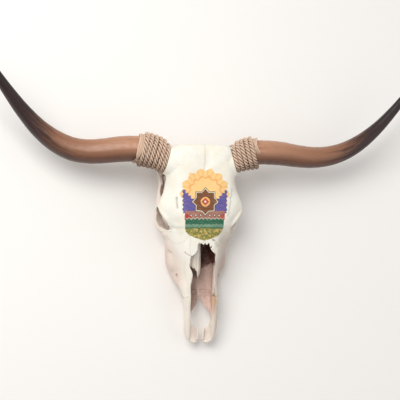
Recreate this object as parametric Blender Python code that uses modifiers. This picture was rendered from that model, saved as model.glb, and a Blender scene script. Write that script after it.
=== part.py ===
"""Painted steer skull, life size, lying face up on the floor.

The skull is drawn in its own frame, as an anatomist would measure it: x to the skull's side,
u from the poll towards the nose, and depth below the plane of the forehead. FACE turns that
frame into world space, nose tipped down, so that the skull rests on the two processes beside
its condyles and on its rear cheek teeth. Sizes are in millimetres until FACE scales them.
"""

import math

import bmesh
import bpy
import numpy as np
from mathutils import Matrix, Vector

MM = 0.001
TILT = math.radians(10.1)            # nose down, as the skull rests
FOREHEAD_HEIGHT = 0.189              # poll above the floor
SHIFT_X = -0.0198                    # puts the origin midway between the horn tips
SHIFT_Y = 0.1172                     # and midway between nose and horn tips
SEAM = 0.3                           # gap between solids that touch

VOXEL = 3.0                          # grain of the fused bone
TRIANGLES = {"cranium": 4700, "face": 3500, "premaxilla_left": 650, "premaxilla_right": 650}
TEETH_TRIANGLES = 650

FACE_PART = 238.0                    # u of the seam between cranium and face
NOSE_PART = 412.0                    # u of the seam between face and premaxillae
MUZZLE_LAP = 3.0                     # how far the muzzle reaches into the premaxillae
POLL_END, NOSE_END = -100.0, 600.0   # beyond the skull at either end,
BESIDE = 200.0                       # at its sides,
ABOVE, BELOW = -80.0, 260.0          # over its crown and under its jaw

ROPE_RADIUS = 5.85
ROPE_PITCH = 12.4
ROPE_STEPS = 18                      # points a turn
ROPE_CLEAR = 2.2                     # lets the straight steps of the wrap pass over the round horn
WRAP_LEAN = math.radians(15)         # the wraps and the horn seats lean, their nose side outward
WRAP_DIP = {-1: 0.05, 1: -0.30}      # and tip a little differently towards the viewer
ROPE_GAP = 0.5                       # between the first turn and the bone
CROSSING = 0.22                      # share of a turn where it starts to cross to the next

BONE = (0.80, 0.76, 0.67)
BONE_SHADE = (0.66, 0.58, 0.50)
TOOTH = (0.74, 0.66, 0.50)
HORN = (0.30, 0.17, 0.10)
ROPE = (0.62, 0.47, 0.33)

FACE = (
    Matrix.Translation((SHIFT_X, SHIFT_Y, FOREHEAD_HEIGHT))
    @ Matrix.Rotation(TILT, 4, "X")
    @ Matrix.Diagonal((MM, -MM, -MM, 1.0))
)

# Half sections of the frontal roof at u: (half width, depth) from crown to edge to underside.
ROOF = (
    (-3, ((0, 14), (34, 13), (58, 18), (64, 27), (54, 38), (0, 42))),
    (3, ((0, 6), (38, 5), (66, 10), (76, 24), (64, 44), (0, 58))),
    (16, ((0, 2), (42, 0), (72, 6), (85, 24), (70, 52), (0, 70))),
    (42, ((0, 1), (46, -1), (77, 7), (94, 32), (80, 62), (0, 74))),
    (70, ((0, 1), (50, 0), (80, 10), (96, 42), (78, 66), (0, 76))),
    (100, ((0, 1), (52, 1), (82, 13), (98, 48), (76, 64), (0, 76))),
    (130, ((0, 0), (54, 2), (88, 17), (105, 46), (78, 62), (0, 78))),
    (155, ((0, 0), (56, 3), (96, 18), (115, 45), (80, 66), (0, 80))),
    (172, ((0, 0), (56, 3), (94, 17), (115, 42), (78, 68), (0, 85))),
    (190, ((0, 0), (52, 3), (84, 15), (101, 37), (74, 68), (0, 88))),
    (208, ((0, 1), (46, 5), (72, 16), (88, 36), (66, 70), (0, 90))),
    (224, ((0, 3), (40, 7), (62, 18), (76, 38), (60, 70), (0, 95))),
    (235, ((0, 12), (32, 16), (50, 30), (60, 48), (52, 70), (0, 95))),
    (248, ((0, 30), (18, 32), (28, 42), (34, 56), (30, 66), (0, 80))),
)

# Half sections of the braincase and the root of the palate, same order.
BRAINCASE = (
    (-3, ((0, 34), (36, 36), (58, 52), (60, 84), (40, 106), (0, 112))),
    (5, ((0, 24), (56, 26), (76, 50), (84, 88), (58, 120), (0, 126))),
    (20, ((0, 12), (60, 16), (84, 54), (106, 104), (74, 134), (0, 138))),
    (42, ((0, 10), (62, 18), (86, 58), (113, 112), (76, 140), (0, 156))),
    (62, ((0, 10), (60, 22), (76, 62), (106, 114), (60, 140), (0, 162))),
    (84, ((0, 10), (60, 26), (68, 64), (78, 108), (46, 142), (0, 160))),
    (110, ((0, 10), (58, 28), (66, 66), (64, 104), (36, 136), (0, 155))),
    (140, ((0, 10), (58, 30), (64, 66), (54, 104), (28, 132), (0, 148))),
    (170, ((0, 12), (58, 34), (58, 66), (44, 104), (24, 130), (0, 142))),
    (200, ((0, 12), (56, 36), (52, 68), (42, 104), (26, 126), (0, 134))),
    (236, ((0, 14), (50, 36), (50, 70), (46, 100), (30, 118), (0, 124))),
)

# Half sections of the face: crown, nasal edge, flank, cheek, jaw edge, palate.
MUZZLE = (
    (204, ((0, 14), (30, 18), (46, 32), (50, 62), (42, 100), (0, 108))),
    (214, ((0, 3), (38, 8), (62, 24), (72, 60), (58, 112), (0, 122))),
    (228, ((0, 3), (38, 7), (62, 22), (88, 64), (64, 124), (0, 121))),
    (238, ((0, 4), (36, 8), (60, 24), (94, 74), (68, 127), (0, 119))),
    (256, ((0, 6), (35, 10), (58, 27), (88, 74), (72, 126), (0, 115))),
    (280, ((0, 8), (35, 13), (54, 29), (84, 80), (74, 126), (0, 109))),
    (305, ((0, 10), (34, 15), (50, 31), (82, 97), (73, 124), (0, 104))),
    (330, ((0, 13), (31, 18), (45, 38), (80, 104), (68, 122), (0, 99))),
    (352, ((0, 16), (30, 20), (42, 42), (72, 99), (63, 117), (0, 95))),
    (370, ((0, 20), (29, 23), (42, 42), (63, 86), (57, 111), (0, 91))),
    (386, ((0, 24), (29, 27), (44, 40), (55, 68), (48, 93), (0, 87))),
    (404, ((0, 29), (30, 31), (46, 40), (51, 60), (44, 80), (0, 82))),
    (424, ((0, 33), (30, 35), (47, 42), (50, 58), (44, 74), (0, 77))),
)

# Half sections of the nasal passage, cut out of the face.
PASSAGE = (
    (248, ((0, 30), (14, 33), (22, 52), (22, 84), (12, 98), (0, 99))),
    (262, ((0, 15), (22, 19), (30, 46), (34, 80), (22, 98), (0, 100))),
    (300, ((0, 15), (27, 19), (32, 44), (36, 76), (24, 92), (0, 93))),
    (335, ((0, 17), (27, 21), (31, 44), (35, 72), (24, 86), (0, 87))),
    (375, ((0, 18), (27, 24), (28, 46), (31, 66), (22, 78), (0, 80))),
    (440, ((0, 18), (28, 26), (29, 44), (30, 58), (22, 68), (0, 70))),
)

# Plan of the opening over the nasal passage, (x, u), with the broken ends of the nasal bones.
NOSE_OPENING = (
    (-32, 440), (-32, 426), (-31, 399), (-28, 380), (-27, 365), (-27, 350), (-30, 341), (-34.5, 332),
    (-36, 325), (-34, 318), (-35, 311), (-32.5, 305), (-33, 299.5), (-29, 300.5), (-26, 297.5),
    (-22.5, 295), (-19.5, 291), (-17, 286), (-15.6, 281), (-16, 274), (-14, 267), (-10.7, 263),
    (-8.5, 267), (-6, 265), (-3, 266.5), (0.6, 270), (3.5, 265.5), (5.7, 264), (8, 268.5), (10, 270),
    (13, 266), (17, 265), (18, 273), (19.5, 281), (24, 287), (27.5, 292), (33, 296.5), (31.5, 302),
    (29.9, 310), (33.5, 323), (34.2, 330), (35.6, 352), (36.9, 381), (34, 404), (31, 424), (31, 440),
)

# Half sections of the gap between the rear of the palate and the pterygoid plates.
CHOANAE = (
    (146, ((0, 150), (10, 152), (17, 160), (19, 175), (19, 190), (0, 190))),
    (170, ((0, 128), (10, 130), (17, 140), (18, 160), (18, 190), (0, 190))),
    (200, ((0, 104), (10, 106), (17, 116), (18, 135), (18, 190), (0, 190))),
    (222, ((0, 98), (10, 100), (16, 108), (17, 118), (17, 160), (0, 160))),
)

# One premaxilla by its outline from above, (inner x, outer x) at u, and its (top, under) depth.
PREMAXILLA = (
    (396, 6, 44, 36, 75),
    (412, 3.5, 49.5, 34, 79),
    (430, 7.5, 48.5, 37, 74),
    (442, 14, 48, 40, 69),
    (452, 21, 47.8, 42, 67),
    (466, 27, 47.8, 43, 65),
    (482, 27, 47.5, 45, 65),
    (496, 20.5, 47, 47, 67),
    (508, 6.5, 46, 49, 69),
    (519, 4.5, 43.5, 51, 70),
    (529, 5, 40, 53, 69),
    (537, 7, 32, 56, 67),
    (541, 10, 22, 59, 65),
)

RIM_INNER = 30.0                     # inner edge of the bar along the nasal opening
NUB = ((8, 532, 62), (7.5, 516, 57), (9, 499, 55))
NUB_ROOT, NUB_TIP = 4.0, 2.6

# Orbit rim, right side, (x, u, depth) round the opening from its rear corner.
ORBIT_RIM = (
    (112, 166, 48), (108, 182, 36), (95, 201, 32), (83, 218, 40), (80, 227, 58),
    (86, 227, 76), (96, 216, 87), (106, 198, 91), (111, 180, 88), (111, 167, 72),
)
MALAR = ((82, 246, 80), (94, 233, 86), (104, 218, 91), (108, 200, 94), (108, 184, 94), (106, 170, 94))
ARCH = ((106, 176, 93), (104, 150, 97), (100, 125, 100), (98, 100, 104), (100, 80, 109), (96, 60, 113))
PEDICLE = ((30, 46, 42), (62, 50, 42), (92, 42, 45), (112, 29, 48), (124, 22, 50))
PTERYGOID = ((24, 214, 112), (25, 198, 134), (25, 180, 158))
MAGNUM = ((0, -10, 132), (0, 20, 132), (0, 58, 122))

RIM_RADIUS = 7.0
MALAR_RADIUS = 11.5
ARCH_RADIUS = 8.5
PEDICLE_RADIUS = 39.0
MAGNUM_RADIUS = 18.0
PTERYGOID_ROOT, PTERYGOID_TIP = 9.0, 5.0

# Ellipsoids fused into each side of the bone: centre, radii, turn in plan.
SWELLINGS = {
    "Process": ((64, 50, 148), (9, 17, 41), math.radians(12)),
    "Condyle": ((27, 24, 146), (20, 17, 24), math.radians(-25)),
    "Mastoid": ((94, 56, 112), (20, 28, 20), 0.0),
    "Bulla": ((43, 92, 150), (13, 20, 20), 0.0),
    "Tubercle": ((14, 76, 160), (11, 12, 10), 0.0),
    "Tuberosity": ((67, 316, 92), (16, 36, 22), math.radians(8)),
    "Tuber": ((58, 226, 116), (13, 16, 14), 0.0),
}
PROTUBERANCE = ((0, 6, 62), (26, 13, 30), 0.0)

# Ellipsoids cut out of each side.
HOLLOWS = {
    "Orbit": ((92, 192, 62), (44, 33, 27), math.radians(35)),
    "Orbit corner": ((87, 211, 62), (22, 19, 25), math.radians(20)),
    "Temple": ((96, 112, 78), (17, 40, 16), 0.0),
    "Arch gap": ((78, 150, 104), (20, 50, 24), 0.0),
    "Infraorbital": ((54, 356, 76), (7, 10, 5), math.radians(-60)),
}

# Blade of the vomer along the passage floor: (u, depth) down its edge and back along its foot.
VOMER = ((256, 40), (300, 41), (335, 44), (352, 52), (363, 68), (366, 96), (256, 112))
VOMER_SIDES = (-3.0, 1.0)
OPENING_TOP, OPENING_FLOOR = -40.0, 44.0

# Cheek teeth: length along the row, width and height of the crown, front premolar first.
CHEEK_TEETH = ((17, 13, 17), (20, 17, 18), (20, 20, 19), (24, 23, 21), (27, 25, 23), (30, 24, 29))
TOOTH_ROW_FRONT = 376.0
TOOTH_ROW_X = ((376, 47), (340, 55), (300, 60), (262, 61), (234, 57))
GUM_DEPTH = ((376, 101), (340, 109), (300, 115), (262, 119), (234, 121))

# Horn centre lines, (x, u, depth, radius), from the base to the tip.
HORN_LEFT = (
    (-72, 54, 43, 24), (-92, 42, 45, 25), (-112, 27, 48, 30), (-133, 17, 52, 34), (-152, 12, 56, 34.6),
    (-172, 10, 60, 35), (-218, 11, 68, 35), (-261, 16, 76, 34), (-304, 18, 84, 33), (-346, 12, 89, 32),
    (-389, -7, 91, 29.5), (-432, -38, 88, 25.5), (-475, -82, 80, 20.7), (-518, -135, 67, 16.2),
    (-560, -192, 51, 12), (-596, -242, 37, 8.2), (-626, -285, 24, 4),
)
HORN_RIGHT = (
    (72, 49, 43, 24), (92, 38, 45, 25), (112, 27, 48, 29.5), (135, 20, 51, 32.5), (154, 16, 54, 33.4),
    (174, 15, 57, 33.6), (236, 17, 66, 33.2), (286, 23, 74, 31.5), (336, 26, 82, 30), (387, 21, 88, 28),
    (436, 6, 90, 25.5), (484, -21, 88, 22), (531, -60, 82, 17.5), (575, -108, 73, 13.5),
    (612, -156, 62, 10.5), (642, -200, 51, 7.5), (666, -240, 41, 3.5),
)

# Middle of the seat where each horn meets its pedicle, and turns of rope on the horn, by side.
SEAT = {-1: (-96, 44, 45), 1: (95, 39, 45)}
ROPE_SPAN = {-1: (0.75, 7.15), 1: (0.75, 5.95)}      # turns at the two ends of each rope
SEAT_RADIUS, SEAT_REACH = 66.0, 120.0

# The nose tip leans towards +x, from nothing at the first u to the whole at the second.
NOSE_LEAN = 4.5
LEAN_STARTS, LEAN_ENDS = 378.0, 426.0
TIP_MIDDLE = 3.8                     # x of the gap between the leaned premaxillae


def hermite(knots, values, at):
    """Smooth curve through values at knots: cubic Hermite with centred slopes."""
    knots, values, at = (np.asarray(a, float) for a in (knots, values, at))
    slopes = np.gradient(values, knots, axis=0)
    i = np.clip(np.searchsorted(knots, at, side="right") - 1, 0, len(knots) - 2)
    step = knots[i + 1] - knots[i]
    t = (at - knots[i]) / step
    lift = (slice(None),) + (None,) * (values.ndim - 1)
    t, step = t[lift], step[lift]
    return (
        (2 * t**3 - 3 * t**2 + 1) * values[i]
        + (t**3 - 2 * t**2 + t) * step * slopes[i]
        + (3 * t**2 - 2 * t**3) * values[i + 1]
        + (t**3 - t**2) * step * slopes[i + 1]
    )


def closed_curve(corners, count):
    """Closed Catmull-Rom curve through corners (..., K, D), as count points."""
    total = corners.shape[-2]
    at = np.arange(count) * total / count
    i = at.astype(int)
    t = (at - i)[:, None]
    before, start, end, after = (corners[..., (i + k) % total, :] for k in (-1, 0, 1, 2))
    return 0.5 * (
        2 * start
        + (end - before) * t
        + (2 * before - 5 * start + 4 * end - after) * t**2
        + (3 * start - before - 3 * end + after) * t**3
    )


def show(name, mesh):
    """An object in the skull's frame."""
    obj = bpy.data.objects.new(name, mesh)
    obj.matrix_world = FACE
    parts.objects.link(obj)
    return obj


def facing_out(mesh):
    """Turn a closed mesh's faces outwards."""
    bm = bmesh.new()
    bm.from_mesh(mesh)
    bmesh.ops.remove_doubles(bm, verts=bm.verts, dist=1e-3)
    bmesh.ops.recalc_face_normals(bm, faces=bm.faces)
    bm.to_mesh(mesh)
    bm.free()
    return mesh


def skin(name, grid):
    """Closed mesh over a grid of rings (rows, columns, 3), its two ends capped."""
    rows, columns = grid.shape[:2]
    index = np.arange(rows * columns).reshape(rows, columns)
    ahead = np.roll(index, -1, axis=1)
    quads = np.stack([index[:-1], ahead[:-1], ahead[1:], index[1:]], axis=-1).reshape(-1, 4)
    faces = quads.tolist() + [index[0].tolist(), index[-1][::-1].tolist()]
    mesh = bpy.data.meshes.new(name)
    mesh.from_pydata(grid.reshape(-1, 3).tolist(), [], faces)
    return facing_out(mesh)


def loft(name, stations, rows=60, columns=56):
    """Body through mirrored half sections ((u, corners), ...)."""
    knots = [u for u, _ in stations]
    half = np.array([corners for _, corners in stations], float)
    mirrored = half[:, -2:0:-1] * (-1.0, 1.0)
    at = np.linspace(knots[0], knots[-1], rows)
    ring = closed_curve(hermite(knots, np.concatenate([half, mirrored], axis=1), at), columns)
    along = np.broadcast_to(at[:, None, None], ring.shape[:2] + (1,))
    return show(name, skin(name, np.concatenate([ring[..., :1], along, ring[..., 1:]], axis=-1)))


def smooth_path(points, steps):
    """Smooth run through points (K, D), as steps rows."""
    points = np.asarray(points, float)
    reach = np.concatenate([[0], np.cumsum(np.linalg.norm(np.diff(points[:, :3], axis=0), axis=1))])
    return hermite(reach, points, np.linspace(0, reach[-1], steps))


def pipe(name, path, radii, cyclic=False, sides=3):
    """Round bar along a path (K, 3) with a radius at each point, made a mesh with closed ends."""
    curve = bpy.data.curves.new(name, "CURVE")
    curve.dimensions = "3D"
    curve.bevel_depth = 1.0
    curve.bevel_resolution = sides
    curve.use_fill_caps = not cyclic
    spline = curve.splines.new("POLY")
    spline.points.add(len(path) - 1)
    spline.points.foreach_set("co", np.column_stack([path, np.ones(len(path))]).ravel())
    spline.points.foreach_set("radius", np.broadcast_to(radii, len(path)).astype(float))
    spline.use_cyclic_u = cyclic
    guide = bpy.data.objects.new(name, curve)
    parts.objects.link(guide)
    bpy.context.view_layer.update()
    mesh = bpy.data.meshes.new_from_object(guide.evaluated_get(bpy.context.evaluated_depsgraph_get()))
    bpy.data.objects.remove(guide)
    return show(name, facing_out(mesh))


def ball(name, centre, radii, turn=0.0):
    """Ellipsoid, its first axis turned from x towards u."""
    mesh = bpy.data.meshes.new(name)
    bm = bmesh.new()
    place = Matrix.Translation(centre) @ Matrix.Rotation(turn, 4, "Z") @ Matrix.Diagonal((*radii, 1.0))
    bmesh.ops.create_uvsphere(bm, u_segments=32, v_segments=20, radius=1.0, matrix=place)
    bm.to_mesh(mesh)
    bm.free()
    return show(name, facing_out(mesh))


def block(name, low, high):
    """Box from its low to its high corner."""
    mesh = bpy.data.meshes.new(name)
    bm = bmesh.new()
    size = Vector(high) - Vector(low)
    place = Matrix.Translation((Vector(high) + Vector(low)) / 2) @ Matrix.Diagonal((*size, 1.0))
    bmesh.ops.create_cube(bm, size=1.0, matrix=place)
    bm.to_mesh(mesh)
    bm.free()
    return show(name, facing_out(mesh))


def prism(name, outline, top, bottom):
    """Upright prism over a plan outline of (x, u)."""
    plan = np.asarray(outline, float)
    rings = [np.column_stack([plan, np.full(len(plan), depth)]) for depth in (top, bottom)]
    return show(name, skin(name, np.array(rings)))


def other_side(obj):
    """Mirror image across the skull's middle."""
    mesh = obj.data.copy()
    mesh.transform(Matrix.Diagonal((-1.0, 1.0, 1.0, 1.0)))
    mesh.flip_normals()
    return show(obj.name + "_left", mesh)


def both_sides(objects):
    return [piece for obj in objects for piece in (obj, other_side(obj))]


def bake(obj):
    """Apply the modifiers and keep the largest closed surface."""
    bpy.context.view_layer.update()
    mesh = bpy.data.meshes.new_from_object(obj.evaluated_get(bpy.context.evaluated_depsgraph_get()))
    obj.modifiers.clear()
    bm = bmesh.new()
    bm.from_mesh(mesh)
    left, shells = set(bm.verts), []
    while left:
        shell, front = set(), [left.pop()]
        while front:
            vert = front.pop()
            shell.add(vert)
            near = {edge.other_vert(vert) for edge in vert.link_edges} & left
            left -= near
            front.extend(near)
        shells.append(shell)
    keep = max(shells, key=len)
    bmesh.ops.delete(bm, geom=[vert for vert in bm.verts if vert not in keep], context="VERTS")
    bmesh.ops.triangulate(bm, faces=bm.faces)
    bm.to_mesh(mesh)
    bm.free()
    obj.data = mesh
    return obj


def joined(name, pieces):
    """One object holding all the pieces' shells."""
    bm = bmesh.new()
    for piece in pieces:
        bm.from_mesh(piece.data)
    mesh = bpy.data.meshes.new(name)
    bm.to_mesh(mesh)
    bm.free()
    discard(pieces)
    return show(name, mesh)


def discard(objects):
    for obj in objects:
        bpy.data.objects.remove(obj)


def fused(obj, voxel, smooths):
    """Shells that cross become one rounded skin."""
    remesh = obj.modifiers.new("Fuse", "REMESH")
    remesh.mode, remesh.voxel_size = "VOXEL", voxel
    smooth = obj.modifiers.new("Round", "SMOOTH")
    smooth.factor, smooth.iterations = 0.5, smooths
    return bake(obj)


def cut(obj, cutters, operation="DIFFERENCE"):
    """Cut closed shapes out of an object, or fuse them on."""
    for cutter in cutters:
        boolean = obj.modifiers.new("Cut", "BOOLEAN")
        boolean.operation, boolean.object = operation, cutter
        bake(obj)
    discard(cutters)
    return obj


def reduced(obj, triangles):
    """Fewer triangles where the bone is plain."""
    decimate = obj.modifiers.new("Reduce", "DECIMATE")
    decimate.ratio = min(1.0, triangles / len(obj.data.polygons))
    return bake(obj)


def floor_cut(obj):
    """Trim whatever would stand below the floor, which leaves the small flats it rests on."""
    mesh = bpy.data.meshes.new("Below")
    bm = bmesh.new()
    bmesh.ops.create_cube(bm, size=2.0, matrix=Matrix.Translation((0, 0, -1)))
    bm.to_mesh(mesh)
    bm.free()
    below = bpy.data.objects.new("Below", mesh)
    parts.objects.link(below)
    return cut(obj, [below])


def wrap_axis(side):
    """Unit vector out along a wrap, and the two across it: towards the viewer, towards the nose."""
    out = Vector((side * math.cos(WRAP_LEAN), -math.sin(WRAP_LEAN), WRAP_DIP[side])).normalized()
    nose = Vector((side * math.sin(WRAP_LEAN), math.cos(WRAP_LEAN), 0.0))
    return out, nose.cross(out) * side, nose


def rope_path(horn, side):
    """Rope laid turn beside turn round the base of a horn. Each turn lies in one plane and crosses to
    the next on the far side, and every point keeps its distance from the horn's nearest ring."""
    out, top, nose = (np.array(v) for v in wrap_axis(side))
    path = smooth_path(horn, 600)
    first, last = ROPE_SPAN[side]
    turn = first + np.arange(round((last - first) * ROPE_STEPS) + 1) / ROPE_STEPS
    crossed = np.clip((turn % 1 - CROSSING) / (1 - 2 * CROSSING), 0, 1)
    turns_out = np.floor(turn) - 1 + crossed * crossed * (3 - 2 * crossed)
    wanted = ROPE_RADIUS + ROPE_GAP + turns_out * ROPE_PITCH
    reach = (path[:, :3] - SEAT[side]) @ out
    centre = np.column_stack([np.interp(wanted, reach, path[:, k]) for k in range(3)])
    angle = 2 * math.pi * turn
    spoke = np.cos(angle)[:, None] * top + np.sin(angle)[:, None] * nose
    length = np.full((len(turn), 1), SEAT_RADIUS)
    for _ in range(12):
        away = (centre + spoke * length)[:, None] - path[None, :, :3]
        spare = (np.linalg.norm(away, axis=-1) - path[:, 3]).min(axis=1)
        length += ROPE_RADIUS + ROPE_CLEAR - spare[:, None]
    return centre + spoke * length


def seat_block(side, outward):
    """Cylinder on one side of the plane where horn and pedicle meet."""
    out = wrap_axis(side)[0]
    away = out if outward else -out
    mesh = bpy.data.meshes.new("Seat")
    bm = bmesh.new()
    turn = away.to_track_quat("Z", "Y").to_matrix().to_4x4()
    place = Matrix.Translation(Vector(SEAT[side]) + away * (SEAT_REACH - SEAM) / 2) @ turn
    size = {"radius1": SEAT_RADIUS, "radius2": SEAT_RADIUS, "depth": SEAT_REACH}
    bmesh.ops.create_cone(bm, cap_ends=True, segments=48, matrix=place, **size)
    bm.to_mesh(mesh)
    bm.free()
    return show("Seat", facing_out(mesh))


def leaned(obj):
    """Set the nose tip over to the side it leans to."""
    points = np.empty(len(obj.data.vertices) * 3)
    obj.data.vertices.foreach_get("co", points)
    points = points.reshape(-1, 3)
    share = np.clip((points[:, 1] - LEAN_STARTS) / (LEAN_ENDS - LEAN_STARTS), 0, 1)
    points[:, 0] += NOSE_LEAN * share * share * (3 - 2 * share)
    obj.data.vertices.foreach_set("co", points.ravel())
    obj.data.update()
    return obj


def build_premaxilla():
    """The right premaxilla, a slim bar with its plate of palate and broad rounded end. Its section at
    each u has ten corners, read from the table."""
    rows = np.array(PREMAXILLA, float)
    at = np.linspace(rows[0, 0], rows[-1, 0], 56)
    inner, outer, top, under = hermite(rows[:, 0], rows[:, 1:], at).T
    rim = np.minimum(outer - 3, np.maximum(inner + 3, RIM_INNER))
    floor = under - 6
    corners = np.stack([np.stack(pair, -1) for pair in (
        (outer, (top + under) / 2 - 2),
        (outer - 3, under - 4),
        ((inner + outer) / 2, under),
        (inner + 1, under - 1),
        (inner, under - 4),
        (np.minimum(inner + 2, rim), np.where(inner < 24, floor, top + 8)),
        (rim - 1, np.where(inner < 20, floor - 4, top + 5)),
        (rim + 1, top + 1),
        ((rim + outer) / 2, top),
        (outer - 2, top + 7),
    )], axis=1)
    ring = closed_curve(corners, 60)
    along = np.broadcast_to(at[:, None, None], ring.shape[:2] + (1,))
    grid = np.concatenate([ring[..., :1], along, ring[..., 1:]], axis=-1)
    return show("Premaxilla", skin("Premaxilla", grid))


def build_bone():
    """The whole skull as one fused bone: outer forms, then hollows, then premaxillae and vomer."""
    paired = [
        pipe("Rim", closed_curve(np.array(ORBIT_RIM, float), 48), RIM_RADIUS, cyclic=True),
        pipe("Malar", smooth_path(MALAR, 16), MALAR_RADIUS),
        pipe("Arch", smooth_path(ARCH, 24), ARCH_RADIUS),
        pipe("Pedicle", smooth_path(PEDICLE, 12), PEDICLE_RADIUS),
        pipe("Pterygoid", smooth_path(PTERYGOID, 10), np.linspace(PTERYGOID_ROOT, PTERYGOID_TIP, 10)),
    ]
    paired += [ball(name, *shape) for name, shape in SWELLINGS.items()]
    middle = [loft("Roof", ROOF), loft("Braincase", BRAINCASE), loft("Muzzle", MUZZLE)]
    bone = middle + [ball("Protuberance", *PROTUBERANCE)] + both_sides(paired)
    skull = fused(joined("Skull", bone), VOXEL, 3)

    hollows = both_sides([ball(name, *shape) for name, shape in HOLLOWS.items()])
    hollows += [loft("Passage", PASSAGE), loft("Choanae", CHOANAE)]
    hollows.append(pipe("Magnum", smooth_path(MAGNUM, 12), MAGNUM_RADIUS))
    cut(skull, hollows + [slab(NOSE_PART + MUZZLE_LAP, NOSE_END)])
    cut(skull, both_sides([build_premaxilla()]), "UNION")
    fused(skull, VOXEL * 0.8, 3)

    blade = prism("Vomer", VOMER, *VOMER_SIDES)
    blade.data.transform(Matrix(((0, 0, 1, 0), (1, 0, 0, 0), (0, 1, 0, 0), (0, 0, 0, 1))))
    nubs = both_sides([pipe("Nub", smooth_path(NUB, 8), np.linspace(NUB_ROOT, NUB_TIP, 8))])
    cut(skull, [blade] + nubs, "UNION")
    return leaned(cut(skull, [prism("Opening", NOSE_OPENING, OPENING_TOP, OPENING_FLOOR)]))


def slab(start, end, low=-BESIDE, high=BESIDE):
    """Everything between two values of u, and two of x."""
    return block("Slab", (low, start, ABOVE), (high, end, BELOW))


def split_skull(skull):
    """The skull parted at its seams into cranium, face and the two premaxillae."""
    gap = SEAM / 2
    outside = {
        "cranium": [(FACE_PART - gap, NOSE_END)],
        "face": [(POLL_END, FACE_PART + gap), (NOSE_PART - gap, NOSE_END)],
        "premaxilla_left": [(POLL_END, NOSE_PART + gap), (POLL_END, NOSE_END, TIP_MIDDLE - gap, BESIDE)],
        "premaxilla_right": [(POLL_END, NOSE_PART + gap), (POLL_END, NOSE_END, -BESIDE, TIP_MIDDLE + gap)],
    }
    bones = {}
    for name, spans in outside.items():
        piece = cut(show(name, skull.data.copy()), [slab(*span) for span in spans])
        bones[name] = floor_cut(reduced(piece, TRIANGLES[name]))
    discard([skull])
    return bones


def mirrored(obj):
    twin = other_side(obj)
    discard([obj])
    return twin


def build_teeth(side):
    """Six cheek teeth in a row, each crown with two rounded lobes and a ridged table."""
    front, pieces = TOOTH_ROW_FRONT, []
    rows_x, rows_d = np.array(TOOTH_ROW_X, float)[::-1], np.array(GUM_DEPTH, float)[::-1]
    for number, (length, width, crown) in enumerate(CHEEK_TEETH):
        middle = front - length / 2
        x, gum = np.interp(middle, *rows_x.T), np.interp(middle, *rows_d.T)
        angle = np.linspace(0, 2 * math.pi, 20, endpoint=False)
        lobes = 1 if number < 3 else 2
        along = (length / 2 + 0.4) * np.sign(np.cos(angle)) * np.abs(np.cos(angle)) ** 0.6
        across = width / 2 * np.sign(np.sin(angle)) * np.abs(np.sin(angle)) ** 0.6
        across *= 1 - 0.16 * np.cos(lobes * np.pi * along / length) ** 2
        rings = []
        for share, swell in ((0.0, 0.86), (0.45, 1.0), (0.92, 1.0), (1.0, 0.93)):
            depth = gum - 3 + share * (crown + 3)
            rings.append(np.column_stack([x + across * swell, middle + along * swell, np.full(20, depth)]))
        pieces.append(show("Crown", skin("Crown", np.array(rings))))
        front -= length - 0.8
    row = fused(joined("Teeth", pieces), 1.6, 1)
    if side < 0:
        row = mirrored(row)
    row.name = "teeth_right" if side > 0 else "teeth_left"
    return floor_cut(reduced(row, TEETH_TRIANGLES))


def seat_teeth(face, rows):
    """Socket cut for each tooth row, a seam wider than the teeth in it."""
    for row in rows:
        socket = show("Socket", row.data.copy())
        swell = socket.modifiers.new("Clear", "DISPLACE")
        swell.strength, swell.mid_level = SEAM * 1.6, 0.0
        bake(socket)
        cut(face, [socket])
    return face


def build_horn(name, horn, side):
    """Horn tapering along its centre line, cut square to its seat."""
    path = smooth_path(horn, 42)
    body = cut(pipe(name, path[:, :3], path[:, 3], sides=5), [seat_block(side, False)])
    body.name = name
    return body


def finish(obj, color, roughness):
    """Give a finished solid its name, material and smooth shading."""
    material = bpy.data.materials.new(obj.name)
    material.use_nodes = True
    shader = material.node_tree.nodes["Principled BSDF"]
    shader.inputs["Base Color"].default_value = (*color, 1.0)
    shader.inputs["Roughness"].default_value = roughness
    obj.data.materials.clear()
    obj.data.materials.append(material)
    obj.data.shade_smooth()
    return obj


for old in list(bpy.data.objects):
    bpy.data.objects.remove(old)
parts = bpy.data.collections.new("Painted steer skull")
bpy.context.scene.collection.children.link(parts)

skull = cut(build_bone(), [seat_block(side, True) for side in (-1, 1)])
bones = split_skull(skull)
teeth = [build_teeth(side) for side in (-1, 1)]
seat_teeth(bones["face"], teeth)
horns, ropes = [], []
for side_name, way, line in (("left", -1, HORN_LEFT), ("right", 1, HORN_RIGHT)):
    horns.append(build_horn("horn_" + side_name, line, way))
    ropes.append(pipe("rope_" + side_name, rope_path(line, way), ROPE_RADIUS, sides=1))
    ropes[-1].name = "rope_" + side_name

for name, solid in bones.items():
    finish(solid, BONE_SHADE if name == "face" else BONE, 0.6)
for solid in teeth:
    finish(solid, TOOTH, 0.45)
for solid in horns:
    finish(solid, HORN, 0.38)
for solid in ropes:
    finish(solid, ROPE, 0.9)
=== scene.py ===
"""Painted steer skull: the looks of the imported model.

The bone is worked out in the skull's own frame, in millimetres: x to its side, u from the poll
towards the nose, and depth below the plane of the forehead. FACE turns that frame into world
space. Every finished piece has its place in its mesh, in metres.
"""

import math
from functools import partialmethod

import bmesh
import bpy
import numpy as np
from bpy.props import FloatProperty, FloatVectorProperty, IntProperty, PointerProperty
from mathutils import Matrix, Vector


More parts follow.
